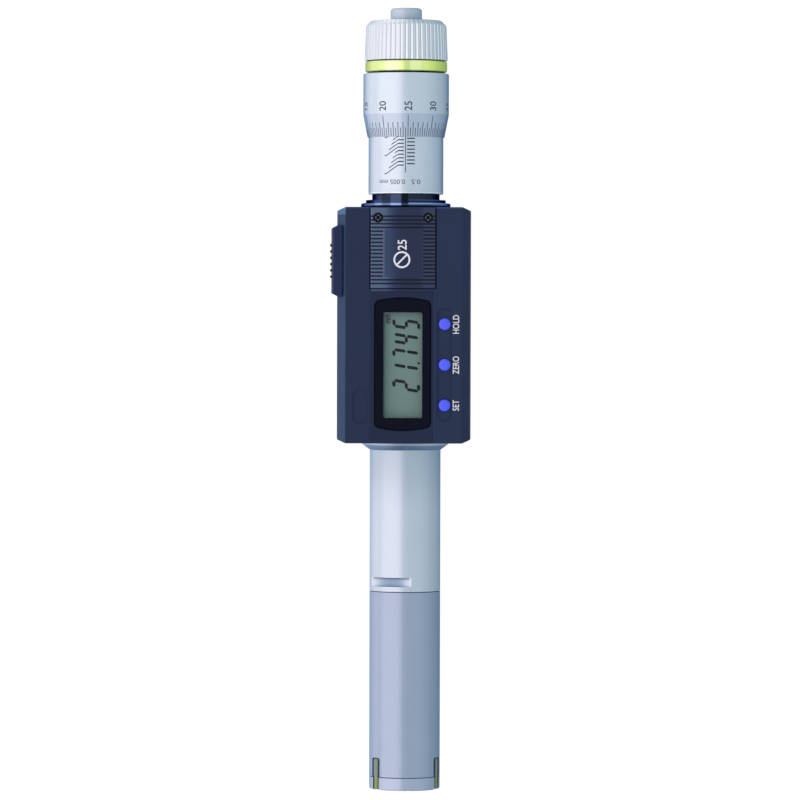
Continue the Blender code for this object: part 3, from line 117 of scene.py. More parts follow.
# Satin chrome, and how it dims towards its edges: the usual way, and on the thimble and sleeve
CHROME = (0.462, 0.558, 0.658)
EDGE_TINT = (0.45, 0.55, 0.7, 1.0)
DARK_RIM = (0.15, 0.25, 0.42, 1.0)

# Where the painted highlights and shade on the housing and on the grip plate begin and end
CHAMFER_RIGHT = -16.4 * MM
EDGE_LEFT = 17.5 * MM
PLATE_LEFT = -9.45 * MM
PLATE_RIGHT = 7.75 * MM
RIB_FRONT = 30.3 * MM

# The seam between head and end plate, where the painted shade in the slots and the contacts' colour
# change
SEAM_LOW = -124.4 * MM
SEAM_HIGH = -124.2 * MM

# Light: what the soft box adds to the white room, the room's share on matt surfaces, and how the
# floor shines on metal from each side
LEFT_LIGHT = (0.79, 0.56, 0.5)
ROOM_LIGHT = 0.75
FLOOR_LEFT = (1.4, 1.25, 1.2, 1.0)
FLOOR_RIGHT = (0.5, 0.58, 0.6, 1.0)


class Wire:
    """A shader socket that can be used in sums: each operator adds its own Math node."""

    def __init__(self, owner, socket):
        self.owner = owner
        self.socket = socket

    def __add__(self, other):
        return self.owner.math("ADD", self, other)

    def __radd__(self, other):
        return self.owner.math("ADD", other, self)

    def __sub__(self, other):
        return self.owner.math("SUBTRACT", self, other)

    def __rsub__(self, other):
        return self.owner.math("SUBTRACT", other, self)

    def __mul__(self, other):
        return self.owner.math("MULTIPLY", self, other)

    def __rmul__(self, other):
        return self.owner.math("MULTIPLY", other, self)

    def step(self, low, high):
        """0 below low and 1 above high, with a smooth slope between them."""
        return self.owner.node(
            "ShaderNodeMapRange", {"interpolation_type": "SMOOTHSTEP"},
            {"Value": self, "From Min": low, "From Max": high},
        )

    def within(self, low, high, soft=0.1 * MM):
        """1 between low and high and 0 outside, with soft ends."""
        return self.step(low - soft, low + soft) * (1.0 - self.step(high - soft, high + soft))


class Shader:
    """A shader in a node tree, and the nodes that feed it."""

    def __init__(self, tree, name):
        self.tree = tree
        self.shader = tree.nodes[name]

    def plug(self, value, place):
        """Give a socket a value, or a link where the value is a wire."""
        if isinstance(value, Wire):
            self.tree.links.new(value.socket, place)
        else:
            place.default_value = value

    def set(self, socket, value):
        """Give the shader's own socket a value or a wire."""
        self.plug(value, self.shader.inputs[socket])

    def node(self, kind, settings=None, values=None, output=0):
        """A node of a kind, with its settings first and then its sockets, and a wire from one output."""
        made = self.tree.nodes.new(kind)
        for key, value in (settings or {}).items():
            setattr(made, key, value)
        for key, value in (values or {}).items():
            self.plug(value, made.inputs[key])
        return Wire(self, made.outputs[output])

    def math(self, operation, *values):
        return self.node("ShaderNodeMath", {"operation": operation}, dict(enumerate(values)))

    def mix(self, share, first, second):
        """One colour where share is 0 and another where it is 1."""
        return self.node("ShaderNodeMix", {"data_type": "RGBA"}, {0: share, 6: first, 7: second}, 2)

    def split(self, vector):
        """The three coordinates of a vector."""
        outputs = self.node("ShaderNodeSeparateXYZ", values={0: vector}).socket.node.outputs
        return [Wire(self, outputs[i]) for i in range(3)]


class Finish(Shader):
    """A material with one Principled shader."""

    def __init__(self, name, colour, roughness, metallic=0.0, **fixed):
        self.material = bpy.data.materials.new(name)
        self.material.use_nodes = True
        super().__init__(self.material.node_tree, "Principled BSDF")
        self.colour = (*colour, 1.0)
        self.set("Base Color", self.colour)
        self.set("Roughness", roughness)
        self.set("Metallic", metallic)
        for socket, value in fixed.items():
            self.set(socket.replace("_", " "), value)

    def place(self):
        """Where a point lies on its piece."""
        return self.node("ShaderNodeTexCoord", output="Object")

    def along(self):
        """The three coordinates of a point on the piece, in metres."""
        return self.split(self.place())

    def noise(self, grain, stretch=(1.0, 1.0, 1.0), detail=2.0):
        """Noise from 0 to 1 whose grain is a length in metres."""
        scaled = self.node(
            "ShaderNodeVectorMath", {"operation": "MULTIPLY"},
            {0: self.place(), 1: tuple(s / grain for s in stretch)},
        )
        settings = {"Vector": scaled, "Scale": 1.0, "Detail": detail}
        return self.node("ShaderNodeTexNoise", values=settings)

    def shaded(self, factor):
        """The finish's own colour, made darker or lighter by a factor."""
        return self.node(
            "ShaderNodeVectorMath", {"operation": "SCALE"}, {0: self.colour[:3], "Scale": factor},
        )

    def patch(self, share, *times):
        """Multiply the colour where share is 1, by one value or by one each for red, green and blue."""
        base = Wire(self, self.shader.inputs["Base Color"].links[0].from_socket)
        changed = self.node(
            "ShaderNodeVectorMath", {"operation": "MULTIPLY"}, {0: base, 1: times * (3 // len(times))},
        )
        self.set("Base Color", self.mix(share, base, changed))

    def off_axis(self):
        """How far a point lies from the spindle's line."""
        x, _, z = self.along()
        z = z - AXIS_HEIGHT
        return self.math("SQRT", x * x + z * z)

    def bump(self, height, distance):
        """Relief, from a height of 0 to 1 and the distance in metres that 1 stands for."""
        relief = {"Height": height, "Distance": distance, "Strength": 1.0}
        self.set("Normal", self.node("ShaderNodeBump", values=relief))


def moulded(name, colour, roughness, specular=0.5):
    """Moulded plastic: a fine matt grain, and a colour that is not quite even."""
    made = Finish(name, colour, roughness, Specular_IOR_Level=specular)
    cloud = made.noise(9 * MM, detail=3.0)
    grain = made.noise(0.12 * MM, detail=3.0)
    made.set("Base Color", made.shaded(0.92 + cloud * 0.16))
    made.set("Roughness", roughness - 0.06 + grain * 0.12)
    made.bump(grain, 0.006 * MM)
    return made


def satin_chrome(name, colour, roughness):
    """Satin chrome: fine turning lines round the spindle under a soft plated surface."""
    made = Finish(name, colour, roughness, 1.0, Specular_Tint=EDGE_TINT)
    lines = made.noise(0.09 * MM, (0.02, 1.0, 0.02), detail=4.0)
    cloud = made.noise(7 * MM, detail=2.0)
    made.set("Base Color", made.shaded(0.97 + cloud * 0.06))
    made.set("Roughness", roughness - 0.04 + lines * 0.05 + cloud * 0.03)
    made.bump(lines, 0.0012 * MM)
    return made


def print_ink(name, colour, roughness=0.5):
    """Printed ink, a little thin in places."""
    made = Finish(name, colour, roughness, Specular_IOR_Level=0.2)
    thin = made.noise(0.35 * MM, detail=3.0)
    made.set("Base Color", made.shaded(0.9 + thin * 0.2))
    return made


def housing_navy():
    """The housing's navy plastic, with painted highlights on the left chamfer, the corners and the
    moulded edges.
    """
    made = moulded("navy_plastic", (0.012, 0.025, 0.066), 0.5, 0.15)
    x, y, z = made.along()
    front = z.step(27.75 * MM, 27.95 * MM)
    # Painted highlight on the left chamfer
    chamfer = (1.0 - x.step(CHAMFER_RIGHT - 0.1 * MM, CHAMFER_RIGHT + 0.1 * MM)) * front
    made.patch(chamfer, 2.5, 2.6, 2.1)
    # Painted highlight along the right edge
    right_edge_highlight = x.step(EDGE_LEFT - 0.05 * MM, EDGE_LEFT + 0.05 * MM) * front
    made.patch(right_edge_highlight, 6.0, 5.2, 3.8)
    key_side = x.step(8.2 * MM, 8.4 * MM)
    made.patch(key_side, 1.12)
    # Painted highlight along the top edge
    top_edge_highlight = y.step(31.7 * MM, 31.85 * MM) * front
    made.patch(top_edge_highlight, 1.9)
    # Painted highlight on the upper end of the left side
    left = 1.0 - x.step(CHAMFER_RIGHT - 0.2 * MM, CHAMFER_RIGHT + 0.2 * MM)
    made.patch(y.step(29.9 * MM, 30.4 * MM) * left, 2.6)

    # Below the grip plate: a darker band round the window with a painted highlight line on its right,
    # then the last rib of the grip with a painted highlight, strongest on its left, and painted shade in
    # the groove under it
    below = 1.0 - y.step(9.9 * MM, 10.1 * MM)
    band = x.within(-9.4 * MM, 7.9 * MM) * z.step(RIB_FRONT, RIB_FRONT + 0.1 * MM) * below
    made.patch(band, 0.7, 0.75, 0.78)
    highlight_line = x.within(7.85 * MM, 8.2 * MM, 0.05 * MM) * front * below
    made.patch(highlight_line, 2.0)
    grip_width = x.within(PLATE_LEFT, PLATE_RIGHT)
    last_rib_highlight = grip_width * y.within(9.2 * MM, 10.05 * MM, 0.05 * MM) * front
    made.patch(last_rib_highlight, 1.28, 1.1, 1.15)
    made.patch(last_rib_highlight * (1.0 - x.step(-6 * MM, -2 * MM)), 2.65, 2.5, 2.0)
    last_groove_shade = grip_width * y.within(8.95 * MM, 9.15 * MM, 0.04 * MM) * front
    made.patch(last_groove_shade, 0.45)
    return made


def grip_blue():
    """The grip plate, with painted light from the left: paler on its left, painted highlights on its
    ribs and left edge, and painted shade in its grooves and round its sides.
    """
    made = moulded("plate_blue", (0.018, 0.032, 0.078), 0.42, 0.18)
    x, y, z = made.along()
    # Painted light: paler on the left, darker on the right
    left = 1.0 - x.step(-6.0 * MM, -0.5 * MM)
    made.patch(1.0 - left, 0.68, 0.7, 0.82)
    made.patch(left, 1.7, 1.85, 1.75)
    pad = x.within(-5.75 * MM, 4.4 * MM) * y.within(13.2 * MM, 26.2 * MM)
    # Painted highlights on the rib tops, round the flat pad
    ribs = z.step(RIB_FRONT, RIB_FRONT + 0.15 * MM) * (1.0 - pad)
    made.patch(ribs * (1.0 - x.step(-7 * MM, -3 * MM)), 2.6, 2.1, 1.6)
    made.patch(ribs * x.step(3.5 * MM, 5.5 * MM), 2.1, 1.9, 1.5)
    left_edge_highlight = 1.0 - x.step(-9.4 * MM, -9.25 * MM)
    made.patch(left_edge_highlight, 1.7)
    # Painted shade in the grooves, and deeper painted shade down the plate's sides
    grooves = 1.0 - z.step(RIB_FRONT - 0.1 * MM, RIB_FRONT + 0.05 * MM)
    made.patch(grooves, 0.25, 0.33, 0.45)
    sides = 1.0 - z.step(29.9 * MM, 30.05 * MM)
    made.patch(sides, 0.1)
    return made


def collar_black():
    """The black collar: glossy, with painted reflections: a lighter flange, light streaks, a light line
    on each step, and a dark stripe.
    """
    made = moulded("collar_black", (0.0168, 0.0262, 0.0528), 0.22, 0.5)
    made.set("Metallic", 1.0)
    made.set("Specular Tint", (0.08, 0.1, 0.16, 1.0))
    x, y, _ = made.along()
    # Painted reflections on the glossy black: a lighter flange, light lines on the steps, streaks and a
    # dark stripe
    flange = 1.0 - y.step(33.5 * MM, 33.6 * MM)
    made.patch(flange, 5.5)
    lines = y.within(33.25 * MM, 33.5 * MM, 0.04 * MM) + y.within(34.15 * MM, 34.4 * MM, 0.04 * MM)
    made.patch(x.step(0.6 * MM, 1.0 * MM) * lines, 3.2)
    made.patch(x.within(-4.2 * MM, -1.3 * MM, 0.3 * MM), 2.2)
    made.patch(x.within(-8.6 * MM, -6.6 * MM, 0.3 * MM), 1.9)
    dark_reflection_stripe = x.within(-1.2 * MM, 0.6 * MM, 0.2 * MM)
    made.patch(dark_reflection_stripe, 0.35)
    return made


def tube_satin():
    """The frame tube, with painted shade towards the housing, on its cone below a painted bright rim, in
    the middle of each spanner flat and under each flat's upper wall.
    """
    made = satin_chrome("satin_chrome_tube", (0.423, 0.508, 0.61), 0.32)
    x, y, _ = made.along()
    # Painted shade towards the housing
    housing_shade = y.step(-53 * MM, -34 * MM)
    made.patch(housing_shade, 0.78, 0.82, 0.84)
    # Painted shade on the cone, lighter on its right, and a painted highlight on the rim
    cone = y.step(-34.35 * MM, -34.2 * MM)
    made.patch(cone, 0.38, 0.45, 0.56)
    made.patch(cone * x.step(-3 * MM, 1 * MM), 1.5, 1.4, 1.3)
    rim = y.step(-33.1 * MM, -32.8 * MM)
    made.patch(rim, 2.4, 1.9, 1.6)
    # Painted shade in the middle of each flat, and a painted shadow under its upper wall
    flat = y.within(FLAT_LOW, FLAT_LOW + FLAT_LENGTH, 0.05 * MM)
    middle = 1.0 - made.off_axis().step(7.4 * MM, 9.6 * MM)
    made.patch(flat * middle, 0.4, 0.52, 0.63)
    upper_wall_shadow = y.step(-70.2 * MM, -69.3 * MM) * (1.0 - made.off_axis().step(9.2 * MM, 9.6 * MM))
    made.patch(flat * upper_wall_shadow, 0.45)
    return made


def head_satin(name, colour):
    """The measuring head's chrome: less metallic inside the slots, so that they look dim, and with
    painted shade inside the end plate.
    """
    made = satin_chrome(name, colour, 0.3)
    _, y, _ = made.along()
    above_face = y.step(END_FACE + 0.1 * MM, END_FACE + 0.2 * MM)
    inside = (1.0 - made.off_axis().step(9.3 * MM, 9.5 * MM)) * above_face
    # Inside the slots: less metallic, and painted shade below the seam
    made.set("Metallic", 1.0 - 0.75 * inside)
    made.patch(inside * (1.0 - y.step(-124.3 * MM, SEAM_HIGH)), 0.08)
    return made


def thimble_satin():
    """The thimble's chrome: painted shade on its taper, and a painted dark groove under the coloured
    ring.
    """
    made = satin_chrome("satin_chrome_thimble", CHROME, 0.32)
    made.set("Specular Tint", DARK_RIM)
    _, y, _ = made.along()
    taper_top = THIMBLE_EDGE + THIMBLE_TAPER
    # Painted shade on the taper
    made.patch(1.0 - y.step(taper_top, taper_top + 0.2 * MM), 0.8, 0.84, 0.9)
    # Painted shade in the groove under the ring
    ring_groove_shade = 1.0 - made.off_axis().step(8.2 * MM, 8.3 * MM)
    made.patch(ring_groove_shade * y.step(THIMBLE_TOP, THIMBLE_TOP + 0.03 * MM), 0.04, 0.06, 0.05)
    return made


def drum_satin():
    """The drum's chrome, with a painted highlight on one wall of each groove."""
    made = satin_chrome("satin_chrome_drum", (0.5, 0.575, 0.65), 0.3)
    x, _, z = made.along()
    turns = made.math("ARCTAN2", x, z - AXIS_HEIGHT) * (FLUTES / (2 * math.pi))
    place = made.math("FRACT", turns)
    # Painted highlight on one wall of each groove
    made.patch(place.within(0.04, 0.2, 0.04), 1.4, 1.33, 1.27)
    return made


def sleeve_satin():
    """The sleeve's chrome, with a painted highlight round its lower edge."""
    made = satin_chrome("satin_chrome_sleeve", CHROME, 0.32)
    made.set("Specular Tint", DARK_RIM)
    _, y, _ = made.along()
    # Painted highlight round the lower edge
    made.patch(1.0 - y.step(SLEEVE_LOW + 0.3 * MM, SLEEVE_LOW + 0.5 * MM), 1.35)
    return made


def bezel_black():
    """The black bezel, painted in the housing's navy along its upper edge."""
    made = moulded("bezel_black", (0.002, 0.003, 0.012), 0.3, 0.06)
    # Painted in the housing's navy along the upper edge
    navy_upper_edge = made.along()[1].step(7.58 * MM, 7.68 * MM)
    made.patch(navy_upper_edge, 5.0, 7.0, 4.6)
    return made


def anvil_steel():
    """The anvils' hardened steel, with painted shade where it lies in the slots of the end plate."""
    made = satin_chrome("hardened_steel", (0.34, 0.4, 0.52), 0.45)
    made.set("Metallic", 0.25)
    # Painted shade in the end plate's slots
    end_plate_slot_shade = 1.0 - made.along()[1].step(SEAM_LOW, SEAM_HIGH)
    made.patch(end_plate_slot_shade, 0.1)
    return made


NAVY = housing_navy()
COVER_NAVY = moulded("cover_navy", (0.0075, 0.0195, 0.07), 0.5, 0.12)
PLATE_BLUE = grip_blue()
BEZEL = bezel_black()
BUTTON = moulded("button_violet", (0.078, 0.118, 1.0), 0.35, 0.3)
COLLAR_BLACK = collar_black()
GREY = moulded("grey_plastic", (0.15, 0.15, 0.16), 0.5)
SATIN = satin_chrome("satin_chrome", CHROME, 0.32)
TUBE_SATIN = tube_satin()
HEAD_SATIN = head_satin("satin_chrome_head", (0.275, 0.352, 0.474))
END_SATIN = head_satin("satin_chrome_end", (0.31, 0.39, 0.52))
THIMBLE_SATIN = thimble_satin()
SLEEVE_SATIN = sleeve_satin()
KNOB_SATIN = satin_chrome("satin_chrome_knob", (0.392, 0.485, 0.584), 0.5)
DRUM_SATIN = drum_satin()
# The arms' faces: darker than the head's chrome by painted shade from the slot walls
SHADED_ARM_SATIN = satin_chrome("satin_chrome_arm", (0.2, 0.26, 0.345), 0.4)
STEEL = satin_chrome("steel", (0.5, 0.52, 0.56), 0.3)
HARDENED = anvil_steel()
BLACKENED = moulded("black_oxide", (0.003, 0.004, 0.008), 0.3, 0.06)
BLACK_INK = print_ink("black_ink", (0.02, 0.03, 0.06))
WHITE_INK = print_ink("white_ink", (0.75, 0.79, 0.88))
# The screws' pale rims are painted highlights on the edges of their cross recesses
SCREW_GLINT = print_ink("screw_glint", (0.07, 0.085, 0.14), 0.3)
SEGMENT = print_ink("display_segment", (0.004, 0.007, 0.016), 0.35)
CLEAR = Finish("clear_glass", (0.02, 0.02, 0.03), 0.03, Alpha=0.06)


def contact_gold():
    """The contacts' coating, a little worn, and greyer in the head than in the end plate."""
    made = Finish("coated_contact", (0.42, 0.4, 0.14), 0.3, 1.0)
    worn = made.noise(0.4 * MM, detail=4.0)
    dull, bright = (0.24, 0.28, 0.05, 1.0), (0.32, 0.36, 0.07, 1.0)
    made.set("Base Color", made.mix(worn.step(0.4, 0.65), dull, bright))
    _, y, _ = made.along()
    in_head = y.step(SEAM_LOW, SEAM_HIGH)
    made.patch(in_head, 0.54, 0.66, 3.0)
    made.patch(1.0 - in_head, 0.66, 0.79, 1.65)
    made.set("Roughness", 0.25 + worn * 0.2)
    return made


def ring_green():
    """The coloured ring: fine turning lines, with a painted highlight to the left of its middle and
    painted shade at its sides.
    """
    made = Finish("ring_green", (0.68, 0.82, 0.33), 0.32, 0.8, Specular_Tint=(0.45, 0.55, 0.4, 1.0))
    lines = made.noise(0.09 * MM, (0.02, 1.0, 0.02), detail=4.0)
    made.set("Base Color", made.shaded(0.94 + lines * 0.12))
    x, _, _ = made.along()
    # Painted light and shade across the ring: dim on the right and at the left end, a bluish highlight
    # left of the middle, and a darker line and a lighter band near the middle
    made.patch(x.step(5 * MM, 11 * MM), 0.72, 0.78, 0.7)
    made.patch(1.0 - x.step(-11 * MM, -9 * MM), 0.7)
    made.patch(x.within(-6.0 * MM, -2.0 * MM, 0.9 * MM), 1.0, 1.0, 1.4)
    made.patch(1.0 - x.step(-6.5 * MM, -4.5 * MM), 0.8, 0.86, 0.92)
    made.patch(x.within(-0.6 * MM, 1.0 * MM, 0.4 * MM), 0.8, 0.86, 0.86)
    made.patch(x.within(1.2 * MM, 4.2 * MM, 0.6 * MM), 1.1, 1.1, 1.25)
    made.patch(x.step(4.5 * MM, 5.5 * MM), 1.05, 1.07, 0.8)
    made.bump(lines, 0.001 * MM)
    return made


def board_green():
    """The circuit board, with paler tracks."""
    made = Finish("board_green", (0.02, 0.16, 0.06), 0.4)
    tracks = made.noise(1.2 * MM, detail=0.0).step(0.5, 0.53)
    made.set("Base Color", made.mix(tracks, (0.015, 0.12, 0.045, 1.0), (0.03, 0.22, 0.08, 1.0)))
    return made


def lcd_green():
    """The display's grey green, with a soft shade along its left and upper edges."""
    made = Finish("lcd_green", (0.182, 0.315, 0.305), 0.35, Specular_IOR_Level=0.1)
    x, y, _ = made.along()
    low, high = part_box("lcd_panel")
    light = made.noise(5 * MM)
    left = x.step(low.x + 0.8 * MM, low.x + 1.4 * MM)
    upper = 1.0 - y.step(high.y - 1.3 * MM, high.y - 0.8 * MM)
    shadow = (0.5 + 0.5 * left) * (0.82 + 0.18 * upper)
    made.set("Base Color", made.shaded((0.93 + light * 0.12) * shadow))
    return made


def new_object(name, data):
    """An object in the scene that shows a mesh, a curve, a lamp or a camera."""
    made = bpy.data.objects.new(name, data)
    bpy.context.scene.collection.objects.link(made)
    return made


def baked(made):
    """The mesh that an object shows, as data of its own. The object itself goes."""
    bpy.context.view_layer.update()
    seen = made.evaluated_get(bpy.context.evaluated_depsgraph_get())
    mesh = bpy.data.meshes.new_from_object(seen)
    bpy.data.objects.remove(made, do_unlink=True)
    return mesh


def written(form, name):
    """A mesh with the faces of a form."""
    mesh = bpy.data.meshes.new(name)
    form.to_mesh(mesh)
    form.free()
    return mesh


def add_piece(name, mesh, finish, body, *replaced):
    """A piece of the visual model, on the body that carries it."""
    made = new_object(name, mesh)
    mesh.materials.clear()
    mesh.materials.append(finish.material)
    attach(made, body)
    if replaced:
        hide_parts(*replaced)
    return made


def arc(centre, radius, start, end, steps):
    """Points on a circle, with angles in degrees."""
    turns = [math.radians(start + (end - start) * i / steps) for i in range(steps + 1)]
    return [(centre[0] + radius * math.cos(t), centre[1] + radius * math.sin(t)) for t in turns]


def eased(outline, size=EASE, closed=False):
    """An outline with each of its corners rounded off by a small curve."""
    points = [Vector(p) for p in outline]
    out = []
    for i, here in enumerate(points):
        if not closed and i in (0, len(points) - 1):
            out.append(here)
            continue
        back, ahead = points[i - 1] - here, points[(i + 1) % len(points)] - here
        reach = min(size, back.length * 0.45, ahead.length * 0.45)
        if back.angle(ahead) > math.radians(165.0):
            out.append(here)
            continue
        start, end = here + back.normalized() * reach, here + ahead.normalized() * reach
        for t in (0.0, 0.33, 0.67, 1.0):
            out.append(start * (1 - t) ** 2 + here * 2 * t * (1 - t) + end * t ** 2)
    return [(p.x, p.y) for p in out]


def around_spindle(mesh, azimuth=0.0):
    """Stand a mesh's own Z along the spindle, with its own -Y side turned up and then to an azimuth."""
    swing = Matrix.Rotation(math.radians(azimuth), 4, "Y")
    stand = Matrix.Rotation(math.radians(-90.0), 4, "X")
    mesh.transform(Matrix.Translation((0.0, 0.0, AXIS_HEIGHT)) @ swing @ stand)
    return mesh


def shade(mesh, angle=30.0):
    """Smooth shading that keeps the sharp edges."""
    mesh.shade_smooth()
    mesh.set_sharp_from_angle(angle=math.radians(angle))
    return mesh


def turned_mesh(name, outline, bored=False, steps=ROUND_STEPS, ease=EASE):
    """A turned form from (radius, station) points: the top, down the outer side, and up any bore."""
    outline = eased(outline, ease, bored)
    sketch = bpy.data.meshes.new(name)
    edges = [(i, i + 1) for i in range(len(outline) - 1)]
    if bored:
        edges.append((len(outline) - 1, 0))
    sketch.from_pydata([(radius, 0.0, station) for radius, station in outline], edges, [])
    blank = new_object(name, sketch)
    screw = blank.modifiers.new("Turning", "SCREW")
    screw.axis = "Z"
    screw.steps = steps
    screw.render_steps = steps
    screw.use_merge_vertices = True
    screw.merge_threshold = WELD
    mesh = baked(blank)
    form = bmesh.new()
    form.from_mesh(mesh)
    bmesh.ops.recalc_face_normals(form, faces=form.faces)
    form.to_mesh(mesh)
    form.free()
    return mesh


def turned(name, outline, finish, body, replaced, **settings):
    """A turned piece, on the body that carries it."""
    mesh = around_spindle(turned_mesh(name, outline, **settings))
    return add_piece(name, shade(mesh), finish, body, replaced)


def block_mesh(low, high):
    """A box between two corners."""
    form = bmesh.new()
    low, high = Vector(low), Vector(high)
    bmesh.ops.create_cube(form, size=1.0)
    for vert in form.verts:
        vert.co = [low[i] + (high[i] - low[i]) * (vert.co[i] + 0.5) for i in range(3)]
    return written(form, "block")


def prism_mesh(corners, axis, end):
    """A flat face between corners, carried along one axis (0, 1 or 2) to its end."""
    form = bmesh.new()
    face = form.faces.new([form.verts.new(corner) for corner in corners])
    grown = bmesh.ops.extrude_face_region(form, geom=[face])
    for made in grown["geom"]:
        if isinstance(made, bmesh.types.BMVert):
            made.co[axis] = end
    bmesh.ops.recalc_face_normals(form, faces=form.faces)
    return written(form, "prism")


def cut_mesh(mesh, cutters):
    """A mesh less each of the cutters, by exact Boolean."""
    for cutter in cutters:
        blank, tool = new_object("blank", mesh), new_object("cutter", cutter)
        step = blank.modifiers.new("Cut", "BOOLEAN")
        step.solver = "EXACT"
        step.operation = "DIFFERENCE"
        step.object = tool
        mesh = baked(blank)
        bpy.data.objects.remove(tool, do_unlink=True)
    return mesh


class Print:
    """Thin ink marks, drawn flat on U and V and then laid on the surface that carries them."""

    def __init__(self):
        self.form = bmesh.new()

    def shape(self, points):
        """A filled outline."""
        self.form.faces.new([self.form.verts.new((u, v, 0.0)) for u, v in points])

    def stroke(self, start, end, width):
        """A straight line of a given width."""
        start, end = Vector(start), Vector(end)
        side = (end - start).orthogonal().normalized() * width / 2
        self.shape([start + side, start - side, end - side, end + side])

    def ring(self, centre, radius, width, steps=48):
        """A circle whose line lies inside its radius."""
        outer = arc(centre, radius, 0, 360, steps)
        inner = arc(centre, radius - width, 0, 360, steps)
        for i in range(steps):
            self.shape([outer[i], outer[i + 1], inner[i + 1], inner[i]])

    def letters(self, text, height, centre, turn=0.0, spread=1.0, weight=0.0):
        """A line of lettering, centred, whose capitals have a given height."""
        curve = bpy.data.curves.new("lettering", "FONT")
        curve.body = text
        curve.align_x = "CENTER"
        curve.offset = weight
        curve.resolution_u = 4
        mesh = baked(new_object("lettering", curve))
        tall = height / CAPITAL
        middle = Matrix.Translation((0.0, -CAPITAL / 2, 0.0))
        size = Matrix.Diagonal((tall * spread, tall, tall, 1.0))
        swing = Matrix.Rotation(math.radians(turn), 4, "Z")
        mesh.transform(Matrix.Translation((*centre, 0.0)) @ swing @ size @ middle)
        self.form.from_mesh(mesh)

    def finish(self, name):
        """The marks as a mesh, with every face turned up."""
        for face in self.form.faces:
            face.normal_update()
            if face.normal.z < 0.0:
                face.normal_flip()
        return written(self.form, name)

    def on_face(self, name, height):
        """The marks on a face that looks up at a given height."""
        mesh = self.finish(name)
        mesh.transform(Matrix.Translation((0.0, 0.0, height)))
        return mesh

    def round_spindle(self, name, radius_at, pitch=0.4 * MM):
        """The marks bent round the spindle: U becomes an azimuth and V a station."""
        places = [vert.co.x for vert in self.form.verts]
        for i in range(math.ceil(min(places) / pitch), math.floor(max(places) / pitch) + 1):
            everything = self.form.verts[:] + self.form.edges[:] + self.form.faces[:]
            bmesh.ops.bisect_plane(
                self.form, geom=everything, dist=WELD, plane_co=(i * pitch, 0.0, 0.0),
                plane_no=(1.0, 0.0, 0.0),
            )
        mesh = self.finish(name)
        for vert in mesh.vertices:
            radius = radius_at(vert.co.y) + INK
            turn = vert.co.x / radius_at(THIMBLE_TOP)
            vert.co = (radius * math.sin(turn), vert.co.y, AXIS_HEIGHT + radius * math.cos(turn))
        return shade(mesh)


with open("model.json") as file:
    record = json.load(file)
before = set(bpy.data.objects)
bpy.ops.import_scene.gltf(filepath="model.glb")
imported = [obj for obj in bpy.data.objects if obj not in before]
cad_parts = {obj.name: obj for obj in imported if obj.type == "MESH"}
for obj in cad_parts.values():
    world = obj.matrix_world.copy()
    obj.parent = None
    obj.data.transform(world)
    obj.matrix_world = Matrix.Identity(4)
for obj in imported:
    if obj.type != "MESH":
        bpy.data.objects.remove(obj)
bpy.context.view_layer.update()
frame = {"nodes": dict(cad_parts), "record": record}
GOLD = contact_gold()
RING = ring_green()
BOARD = board_green()
LCD = lcd_green()

SLOT_FINISHES = {
    "navy_plastic": NAVY, "plate_blue": PLATE_BLUE, "bezel_black": BEZEL, "clear_glass": CLEAR,
    "lcd_green": LCD, "board_green": BOARD, "grey_plastic": GREY, "button_violet": BUTTON,
    "collar_black": COLLAR_BLACK, "satin_chrome": SATIN, "steel": STEEL, "fluted_steel": SATIN,
    "hardened_steel": HARDENED, "coated_contact": GOLD, "ring_green": RING,
}
NODE_FINISHES = {
    "grip_plate_screw_1": BLACKENED, "grip_plate_screw_2": BLACKENED, "battery_cover": COVER_NAVY,
}

# The edge radius of each moulded part, in millimetres
EDGES = {
    "housing_front": 0.12, "back_cover": 0.25, "grip_plate": 0.05, "battery_cover": 0.1,
    "display_bezel": 0.06, "display_glass": 0.04,
}


def dress_nodes():
    """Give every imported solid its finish, and a moulded part its small edge radius."""
    for part in frame["record"]["subparts"]:
        name = part["node"]
        finish = NODE_FINISHES.get(name, SLOT_FINISHES[part["material_slot"]])
        node = frame["nodes"][name]
        for slot in node.material_slots:
            slot.material = finish.material
        if name in EDGES:
            node.modifiers.new("Weld", "WELD").merge_threshold = WELD
            plane = node.modifiers.new("Flat faces", "DECIMATE")
            plane.decimate_type = "DISSOLVE"
            plane.angle_limit = math.radians(1.0)
            edge = node.modifiers.new("Edge radius", "BEVEL")
            edge.width = EDGES[name] * MM
            edge.segments = 2
            edge.limit_method = "ANGLE"
            edge.angle_limit = math.radians(28.0)
            node.modifiers.new("Normals", "WEIGHTED_NORMAL").weight = 100


def make_frame_tube():
    """The tube between head and housing, with two spanner flats and the cone flange."""
    socket = 6.3 * MM
    socket_top = HEAD_TOP + 9.9 * MM
    bore, spigot, spigot_top = 4.8 * MM, 7.3 * MM, TUBE_TOP + 7.2 * MM
    tube = turned_mesh("tube_turned", [
        (bore, spigot_top), (spigot, spigot_top), (spigot, TUBE_TOP), (FLANGE_RADIUS, TUBE_TOP),
        (TUBE_RADIUS, TUBE_TOP - FLANGE_LENGTH), (TUBE_RADIUS, FLAT_LOW + FLAT_LENGTH + 0.4 * MM),
        (TUBE_RADIUS, FLAT_LOW - 0.4 * MM), (TUBE_RADIUS, TUBE_BOTTOM),
        (socket, TUBE_BOTTOM), (socket, socket_top), (bore, socket_top),
    ], bored=True)
    around_spindle(tube)
    far = 2 * TUBE_RADIUS
    flats = []
    for side in (0.0, 180.0):
        cutter = block_mesh((-far, -far, FLAT_LOW), (far, -FLAT_ACROSS / 2, FLAT_LOW + FLAT_LENGTH))
        flats.append(around_spindle(cutter, FLAT_AZIMUTH + side))
    add_piece("tube_turned", shade(cut_mesh(tube, flats)), TUBE_SATIN, "frame", "frame_tube")


